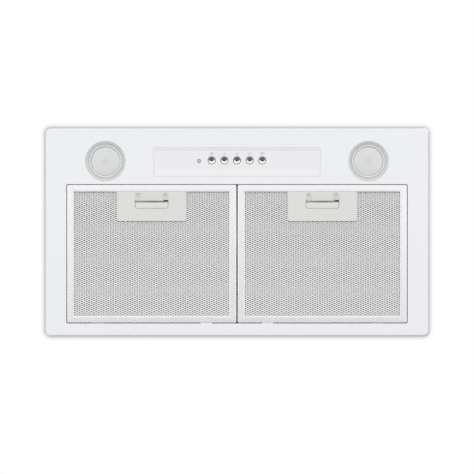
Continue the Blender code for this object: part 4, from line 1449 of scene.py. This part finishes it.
motor = [(4.4, 23.8), (10.6, 23.8), (11.6, 23.0), (12.4, 20.6), (28.0, 20.4), (31.5, 19.6)]
motor += [(34.4, 17.6), (36.0, 15.0), (37.8, 14.8), (37.8, 12.2), (36.0, 12.0)]
motor += [(radius, -height) for radius, height in reversed(motor)]
fins = ring_of(fin(24, 35, 37.6, 1.3), 40, MOTOR_METAL, FAN, "X")
parts = [turned_mesh(motor, FAN, "X"), fins]
for axis in ("X", "-X"):
    bolt = pan_screw(2.8)
    bolt.transform(Matrix.Translation((25 * MM, 0, 20.5 * MM)))
    parts.append(ring_of(bolt, 4, CHROME, FAN, axis, math.pi / 4))
    vent = fin(0.5, 14.5, 21, 2.2)
    vent.transform(Matrix.Translation((0, 0, 20.6 * MM)))
    parts.append(ring_of(vent, 16, MOTOR_METAL, FAN, axis))
add_piece("motor_case", merge(parts), MOTOR_METAL, "motor_body")
shaft = [(0, 55.9), (3.4, 55.9), (4.0, 55.3), (4.0, -55.3), (3.4, -55.9), (0, -55.9)]
shaft_mesh = turned_mesh(shaft, FAN, "X", 32)
add_piece("motor_shaft", shaft_mesh, CHROME, "fan_shaft", "rotor")
print("motor:", len(fins.polygons), "faces of fins")

# %% Impellers
BLADES = 34


def blade_mesh(low, high, inner, outer):
    """A forward-curved blade: an arc of plate between two radii, along Z."""
    shape = bmesh.new()
    steps = 4
    rows = []
    for i in range(steps + 1):
        share = i / steps
        radius = inner + (outer - inner) * share
        sweep = math.radians(7.5) * share ** 1.8
        along = Vector((math.cos(sweep), math.sin(sweep), 0)) * radius
        across = Vector((-math.sin(sweep), math.cos(sweep), 0)) * 0.45 * MM
        rows.append([
            shape.verts.new(along + s * across + Vector((0, 0, z)))
            for s, z in ((-1, low), (1, low), (1, high), (-1, high))
        ])
    for first, second in zip(rows, rows[1:]):
        bridge(shape, first, second)
    shape.faces.new(rows[0])
    shape.faces.new(list(reversed(rows[-1])))
    return finish_shape(shape, 40)


drum = [(4.4, 41), (8.4, 41), (9.0, 40.4), (9.6, 30.2), (10.6, 28.9), (44.5, 28.9)]
drum += [(46.0, 29.3), (54.0, 29.3), (54.0, 27.2), (45.0, 27.2), (43.0, 27.0), (4.4, 27.0)]
hoop = [(47.0, 57.9), (53.4, 57.9), (54.0, 57.3), (54.0, 55.2), (52.8, 54.6), (48.0, 54.6)]
hoop += [(47.0, 55.2)]
for side, sign in SIDES:
    axis = SIDE_AXIS[sign]
    blade = blade_mesh(28.6 * MM, 55.2 * MM, 47.2 * MM, 53.8 * MM)
    parts = [turned_mesh(profile, FAN, axis) for profile in (drum, hoop)]
    parts.append(ring_of(blade, BLADES, BLACK, FAN, axis))
    ribs = ring_of(fin(10, 9, 20, 1.6), 6, BLACK, FAN, axis)
    ribs.transform(Matrix.Translation((sign * 33.6 * MM, 0, 0)))
    name = "impeller_drum_" + side
    add_piece(name, merge([*parts, ribs]), BLACK, "impeller_" + side, "rotor")
print("impellers:", BLADES, "blades each")

# %% Capacitor
STRAP_R = 15.2 * MM
STRAP_TOP = 15.8 * MM

cap = middle_of("capacitor")
can = [(0, -29.6), (12.6, -29.6), (14.2, -29.0), (14.9, -27.6), (14.9, 24.0), (14.0, 24.6)]
can += [(14.0, 25.6), (14.9, 26.2), (14.9, 28.2), (14.2, 29.0), (4.0, 29.2), (0, 29.2)]
add_piece("run_capacitor", turned_mesh(can, cap, "X", 40), CAN_WHITE, "capacitor")
points = [(-24 * MM, STRAP_TOP), (-STRAP_R - 1.0 * MM, STRAP_TOP)]
for i in range(13):
    angle = math.radians(172 + 196 * i / 12)
    points.append((STRAP_R * math.cos(angle), STRAP_R * math.sin(angle)))
points += [(STRAP_R + 1.0 * MM, STRAP_TOP), (24 * MM, STRAP_TOP)]
shape = bmesh.new()
bridge(shape, *[
    [shape.verts.new((x, *point)) for point in points] for x in (-8 * MM, 8 * MM)
], closed=False)
shape.transform(Matrix.Translation((cap.x - 4 * MM, cap.y, cap.z)))
strap = give_thickness(finish_shape(shape), (0, 0, -1), 0.7 * MM)
places = [(cap.x - 4 * MM, cap.y + s * 20 * MM, cap.z + 15.0 * MM) for s in (-1, 1)]
screws = on_spots(pan_screw(2.6), places, "-Z")
add_piece("capacitor_strap", merge([strap, screws]), ZINC)
print("blower ready")

# %% [markdown]
# ## Duct collar
# The collar is moulded in black nylon with a square foot. Its two half-moon flaps hang on one steel
# pin and fall shut against a ledge when the fan stops.

# %% Collar
COLLAR_Y = middle_of("damper_pin").y
DAMPER_Z = middle_of("damper_pin").z
collar_low, collar_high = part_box("outlet_collar")
COLLAR_TOP = collar_high.z
FOOT_HALF = collar_high.x
FOOT_TOP = collar_low.z + 2.5 * MM
top = COLLAR_TOP / MM
base = collar_low.z / MM
ledge = DAMPER_Z / MM - 0.9
neck = [(54.6, base), (54.6, ledge - 1.0), (55.1, ledge), (57.5, ledge), (57.5, top - 0.9)]
neck += [(57.9, top - 0.2), (58.5, top), (59.0, top - 0.2), (59.3, top - 1.0)]
for i in range(3):  # gripping rings for the duct
    z = top - 5.0 - 4.0 * i
    neck += [(59.1, z + 1.4), (59.5, z), (59.1, z - 0.3)]
neck += [(59.1, base + 4.4), (59.8, base + 3.2), (61.0, base + 2.5), (61.0, base)]
foot = bmesh.new()
foot_outline = rounded_rectangle((0, COLLAR_Y), 2 * FOOT_HALF, 2 * FOOT_HALF, 7 * MM, 8)
outer = walk(foot, foot_outline, [
    (-0.9 * MM - SUPPORT, FOOT_TOP), (-0.9 * MM, FOOT_TOP), (-0.2 * MM, FOOT_TOP - 0.3 * MM),
    (0, FOOT_TOP - 0.9 * MM), (0, collar_low.z)
])
hole = walk(foot, circle((0, COLLAR_Y), 58.5 * MM, 72), [
    (0.3 * MM, FOOT_TOP), (0, FOOT_TOP), (0, collar_low.z)
])
fill(foot, [outer[0], hole[0]])
fill(foot, [outer[1], hole[1]])
parts = [turned_mesh(neck, (0, COLLAR_Y, 0), "Z", 96), finish_shape(foot)]
web = slabs_mesh([((58.8 * MM, -0.8 * MM, 0), (65.5 * MM, 0.8 * MM, 7 * MM))], 0.3 * MM, 1)
web.transform(Matrix.Translation((0, 0, FOOT_TOP - 0.4 * MM)))
parts.append(ring_of(web, 16, BLACK, (0, COLLAR_Y, 0), "Z", math.pi / 16))
boss = [(0, 4.2), (3.6, 4.2), (4.2, 3.6), (4.2, 0), (0, 0)]
for sign, axis in SIDE_AXIS.items():
    spot = (sign * 58.2 * MM, COLLAR_Y, DAMPER_Z)
    parts.append(turned_mesh(boss, spot, axis, 24))
add_piece("duct_collar", merge(parts), BLACK, "outlet_collar")
corner = FOOT_HALF - 8 * MM
places = [(sx * corner, COLLAR_Y + sy * corner, FOOT_TOP) for sx in (-1, 1) for sy in (-1, 1)]
add_piece("collar_screws", on_spots(pan_screw(3.4), places, "+Z"), CHROME)

# %% Flaps
FLAP_R = 56.2 * MM
CHORD = 3.0 * MM
HALF_THICK = 0.5 * MM
HINGE = (0, COLLAR_Y, DAMPER_Z)

pin = [(0, 59.3), (0.9, 59.3), (1.2, 59.0), (1.2, -59.0), (0.9, -59.3), (0, -59.3)]
pin_mesh = turned_mesh(pin, HINGE, "X", 20)
add_piece("flap_pin", pin_mesh, CHROME, "damper_pin")


def half_moon(sign, steps=28):
    def outline(offset):
        radius = FLAP_R + offset
        first = math.asin((CHORD - offset) / radius)
        points = []
        for i in range(steps + 1):
            angle = first + (math.pi - 2 * first) * i / steps
            points.append(
                Vector((radius * math.cos(angle), COLLAR_Y + sign * radius * math.sin(angle)))
            )
        return points
    return outline


def flap_mesh(sign, spans):
    """A half-moon plate with four ribs, and a knuckle on the pin at each span of X."""
    shape = bmesh.new()
    low, high = DAMPER_Z - HALF_THICK, DAMPER_Z + HALF_THICK
    for ring in walk(shape, half_moon(sign), [
        (-2.0 * MM, low + 0.25 * MM), (-1.4 * MM, low), (-0.15 * MM, low),
        (0, DAMPER_Z - 0.3 * MM), (0, DAMPER_Z + 0.3 * MM),
        (-0.2 * MM, high), (-1.6 * MM, high), (-1.9 * MM, high - 0.2 * MM)
    ]):
        shape.faces.new(ring)
    for x in (-30, -10, 10, 30):
        reach = math.sqrt(52 ** 2 - x ** 2)
        slab(
            shape, ((x - 0.5) * MM, COLLAR_Y + sign * 10 * MM, DAMPER_Z + 0.1 * MM),
            ((x + 0.5) * MM, COLLAR_Y + sign * reach * MM, DAMPER_Z + 1.3 * MM), 0.2 * MM, 1
        )
    parts = [finish_shape(shape)]
    for x0, x1 in spans:
        knuckle = [(1.5, x0), (2.2, x0), (2.6, x0 + 0.4), (2.6, x1 - 0.4), (2.2, x1), (1.5, x1)]
        parts.append(turned_mesh(knuckle, HINGE, "X", 20))
        y0, y1 = COLLAR_Y + sign * 1.9 * MM, COLLAR_Y + sign * 4.0 * MM
        parts.append(slabs_mesh([(
            (x0 * MM, y0, DAMPER_Z - 0.45 * MM), (x1 * MM, y1, DAMPER_Z + 0.45 * MM)
        )], 0.15 * MM, 1))
    return merge(parts)


for end, sign, spans in (
    ("front", -1, ((-50, -26), (1, 25))), ("rear", 1, ((-25, -1), (26, 50)))
):
    name = "backdraught_flap_" + end
    flap = flap_mesh(sign, spans)
    add_piece(name, flap, BLACK, "damper_flap_" + end, end + "_flap")
print("outlet ready")

# %% [markdown]
# ## Switches and wiring
# The push-button switches sit in one block behind the fascia. Round sheathed leads run from it to
# the lamps, the motor and the terminal box on the lid, where the supply comes in through a gland.

# %% Switch block and terminal box
def rounded_case(node, corner, soft):
    """A box with round upright corners and softened edges, as large as the node."""
    low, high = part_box(node)
    outline = rounded_rectangle((low + high) / 2, high.x - low.x, high.y - low.y, corner)
    shape = bmesh.new()
    stations = arc((-soft, low.z + soft), soft, -90, 0, 3)
    stations += arc((-soft, high.z - soft), soft, 0, 90, 3)
    for ring in walk(shape, outline, stations):
        shape.faces.new(ring)
    return finish_shape(shape)


block_low, block_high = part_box("switch_block")
ribs = slabs_mesh([(
    (middle_of(name).x - 0.5 * MM, block_low.y - 0.3 * MM, block_low.z + 2 * MM),
    (middle_of(name).x + 0.5 * MM, block_high.y + 0.3 * MM, block_high.z + 0.3 * MM)
) for name in BUTTONS], 0.2 * MM, 1)
block = rounded_case("switch_block", 1.0 * MM, 0.6 * MM)
add_piece("switch_housing", merge([block, ribs]), GREY, "switch_block")

box_low, box_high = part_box("terminal_box")
outline = rounded_rectangle(
    (box_low + box_high) / 2, box_high.x - box_low.x, box_high.y - box_low.y, 5 * MM
)
case = bmesh.new()
floor_in = box_low.z + 2 * MM
outside, inside = walk(case, outline, [
    (-0.4 * MM, box_low.z), (0, box_low.z + 0.4 * MM), (0, box_high.z), (-2 * MM, box_high.z),
    (-2 * MM, floor_in)
])
hole_out, hole_in = walk(case, SUPPLY_HOLE, [(0, box_low.z), (0, floor_in)])
fill(case, [outside, hole_out])
fill(case, [inside, hole_in])
add_piece("terminal_case", finish_shape(case), GREY, "terminal_box")

cover_low, cover_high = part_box("terminal_cover")
panel = slabs_mesh([(
    (cover_low.x + 22 * MM, cover_low.y + 12 * MM, cover_high.z - 1.0 * MM),
    (cover_high.x - 22 * MM, cover_high.y - 12 * MM, cover_high.z)
)])
panel.transform(Matrix.Translation((0, 0, 0.35 * MM)))
cover = rounded_case("terminal_cover", 6 * MM, 0.9 * MM)
add_piece("terminal_lid", merge([cover, panel]), GREY, "terminal_cover")
places = [
    (cover_low.x + 8 * MM, cover_low.y + 8 * MM, cover_high.z),
    (cover_high.x - 8 * MM, cover_high.y - 8 * MM, cover_high.z)
]
screws = on_spots(pan_screw(2.8), places, "+Z")
add_piece("terminal_screws", screws, CHROME)

# %% Cable gland
gland_low, gland_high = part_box("cable_gland")
GLAND = Vector((box_high.x, -87 * MM, (gland_low.z + gland_high.z) / 2))
gland = [(4.0, 14.9), (5.6, 14.9), (7.0, 14.3), (7.8, 13.0), (8.1, 8.4), (8.3, 8.0)]
gland += [(8.3, 0.4), (6.0, 0.4), (6.0, -6.0), (4.0, -6.0)]
rib = fin(4.6, 7.6, 8.7, 0.9)
rib.transform(Matrix.Translation((0, 0, 10.6 * MM)))
parts = [turned_mesh(gland, GLAND, "X", 36), ring_of(rib, 18, BLACK, GLAND, "X")]
add_piece("supply_gland", merge(parts), BLACK, "cable_gland")
shape = bmesh.new()
bmesh.ops.create_cone(
    shape, cap_ends=True, segments=6, radius1=9.45 * MM, radius2=9.45 * MM, depth=5 * MM,
    matrix=Matrix.Translation((0, 0, 3.2 * MM))
)
bmesh.ops.bevel(
    shape, geom=shape.edges[:], offset=0.4 * MM, segments=2, profile=0.5, affect="EDGES"
)
nut = finish_shape(shape, 40)
nut.transform(Matrix.Translation(GLAND) @ AXIS_TURN["X"])
add_piece("gland_nut", nut, BLACK)

# %% Leads
def add_lead(name, node, route, diameter):
    """A sheathed lead; its route is in millimetres."""
    places = [Vector(place) * MM for place in route]
    add_piece(name, tube_mesh(places, diameter, smooth=True), SHEATH, node)


for side, sign in SIDES:
    x, y = LAMP_X / MM, LAMP_Y / MM
    add_lead("lead_to_lamp_" + side, "lamp_lead_" + side, [
        (sign * x, y, 34.6), (sign * x, y, 39), (sign * (x - 7), y + 2, 44),
        (sign * (x - 28), y + 5, 38), (sign * 100, -84, 22), (sign * 72, -88, 15),
        (44.8 if sign > 0 else -56.8, -90, 14),
    ], 4 * MM)
add_lead("lead_to_motor", "motor_lead", [
    (20, -59.6, 92), (20, -72, 93), (20, -87, 80), (20, -90, 56), (20, -91, 36), (20, -92, 20.6),
], 6 * MM)
add_lead("lead_to_terminals", "supply_lead", [
    (-40, -92, 20.6), (-44, -92, 32), (-80, -97, 44), (-130, -93, 40), (-150, -90, 52),
    (-150, -90, 80), (-152, -86, 120), (-150, -82, 160), (-150, -82, 182),
], 6 * MM)
print("wiring ready")

# %% [markdown]
# ## Light
# A white tent lights the hood from all sides, a little stronger from the front. One dark wall
# behind it gives the chrome and the hollows something to mirror. Two soft boxes above shape the
# top of the hood in the views from there.

# %% Tent
world = bpy.data.worlds.new("tent")
world.use_nodes = True
bpy.context.scene.world = world
tent = Recipe(world.node_tree)
direction = tent.node("ShaderNodeTexCoord").outputs["Generated"]
way = tent.node("ShaderNodeSeparateXYZ", None, {0: direction})
to_side = tent.number(way, "X").math("ABSOLUTE")
to_rear = tent.number(way, "Y")
up = tent.number(way, "Z")
path = tent.node("ShaderNodeLightPath")
seen = tent.number(path, "Is Camera Ray")
mirrored = tent.number(path, "Is Glossy Ray")
soft_wall = 0.30 * (1 - up.smooth(-0.1, 0.2)) * to_rear.smooth(0.10, 0.38)
wall_way = (to_side * to_side + (to_rear - 0.46) ** 2).math("SQRT")
hard_wall = 0.90 * (1 - up.smooth(0.15, 0.45)) * (1 - wall_way.smooth(0.40, 0.50))
below = 1.155 + 0.18 * to_side - 0.30 * to_rear * (1 - 0.8 * mirrored)
below = below + 0.25 * mirrored * to_side.smooth(0.0, 0.18)
above = 0.42 - 0.12 * to_rear
tent_light = below + (above - below) * up.smooth(-0.65, -0.1)
tent_light = tent_light * (1 - soft_wall - (hard_wall - soft_wall) * mirrored)
background = world.node_tree.nodes["Background"]
background.inputs["Color"].default_value = (1, 1, 1, 1)
strength = tent_light + (1 - tent_light) * seen
world.node_tree.links.new(strength.socket, background.inputs["Strength"])


def soft_box(name, place, size, power):
    data = bpy.data.lights.new(name, "AREA")
    data.shape = "SQUARE"
    data.size = size
    data.energy = power
    lamp = new_object(name, data)
    lamp.location = place
    lamp.rotation_euler = (-Vector(place)).to_track_quat("-Z", "Y").to_euler()


soft_box("key_box", (1.4, -1.2, 1.7), 1.2, 20)
soft_box("rear_box", (-1.5, 1.4, 1.3), 1.2, 14)
print("tent and two soft boxes ready")

# %% [markdown]
# ## Floor and edge shadow
# The floor lies just under the face and shows only from above, because the hood is also looked at
# from below. A ring behind the rim darkens the white around the hood, as a table close to it would.

# %% Floor
def one_sided(name, colour, opacity):
    """A surface that is clear from behind; opacity(recipe) gives how solid its front is."""
    def build(recipe):
        dark = [0.985 * part for part in colour]
        return {"Base Color": recipe.tint(dark, colour, recipe.noise(60 * MM, 3.0))}

    finish = new_finish(name, None, build, Roughness=0.6)
    recipe = Recipe(finish.node_tree)
    nodes = finish.node_tree.nodes
    clear = recipe.node("ShaderNodeBsdfTransparent")
    facing = recipe.number(recipe.node("ShaderNodeNewGeometry"), "Backfacing")
    mix = recipe.node("ShaderNodeMixShader", None, {
        0: (1 - facing) * opacity(recipe), 1: clear.outputs[0],
        2: nodes["Principled BSDF"].outputs[0],
    })
    finish.node_tree.links.new(mix.outputs[0], nodes["Material Output"].inputs["Surface"])
    return finish


def stage_item(name, mesh, finish):
    item = new_object(name, mesh)
    mesh.name = name
    mesh.materials.append(finish)
    item.visible_shadow = False
    item.visible_diffuse = False
    item.visible_glossy = False


def floor_opacity(recipe):
    """Solid near the hood, and gone before the floor ends."""
    where = recipe.node("ShaderNodeTexCoord").outputs["Object"]
    length = recipe.node("ShaderNodeVectorMath", {"operation": "LENGTH"}, {0: where})
    return 1 - recipe.number(length, "Value").smooth(0.7, 2.6)


FLOOR_HALF = 3.0
shape = bmesh.new()
bmesh.ops.create_grid(shape, x_segments=1, y_segments=1, size=FLOOR_HALF)
shape.transform(Matrix.Translation((0, 0, -0.4 * MM)))
pale = one_sided("pale_floor", (0.86, 0.86, 0.865), floor_opacity)
stage_item("floor", as_mesh(shape), pale)

# %% Edge shadow
HALO = 9 * MM
shape = bmesh.new()
stations = [(-0.4 * MM + i * HALO / 10, 5.5 * MM) for i in range(11)]
walk(shape, face_outline, stations)
fade = shape.verts.layers.float.new("fade")
shape.verts.ensure_lookup_table()
around = len(shape.verts) // len(stations)
for index, vert in enumerate(shape.verts):
    vert[fade] = 0.6 * (1 - (index // around) / (len(stations) - 1)) ** 2.8
bmesh.ops.recalc_face_normals(shape, faces=shape.faces)
if shape.faces[:][0].normal.z > 0:
    bmesh.ops.reverse_faces(shape, faces=shape.faces)


def halo_opacity(recipe):
    return recipe.number(recipe.node("ShaderNodeAttribute", {"attribute_name": "fade"}), "Fac")


dark = one_sided("edge_shadow", (0.02, 0.02, 0.022), halo_opacity)
stage_item("edge_shadow", as_mesh(shape), dark)
print("floor and edge shadow ready")
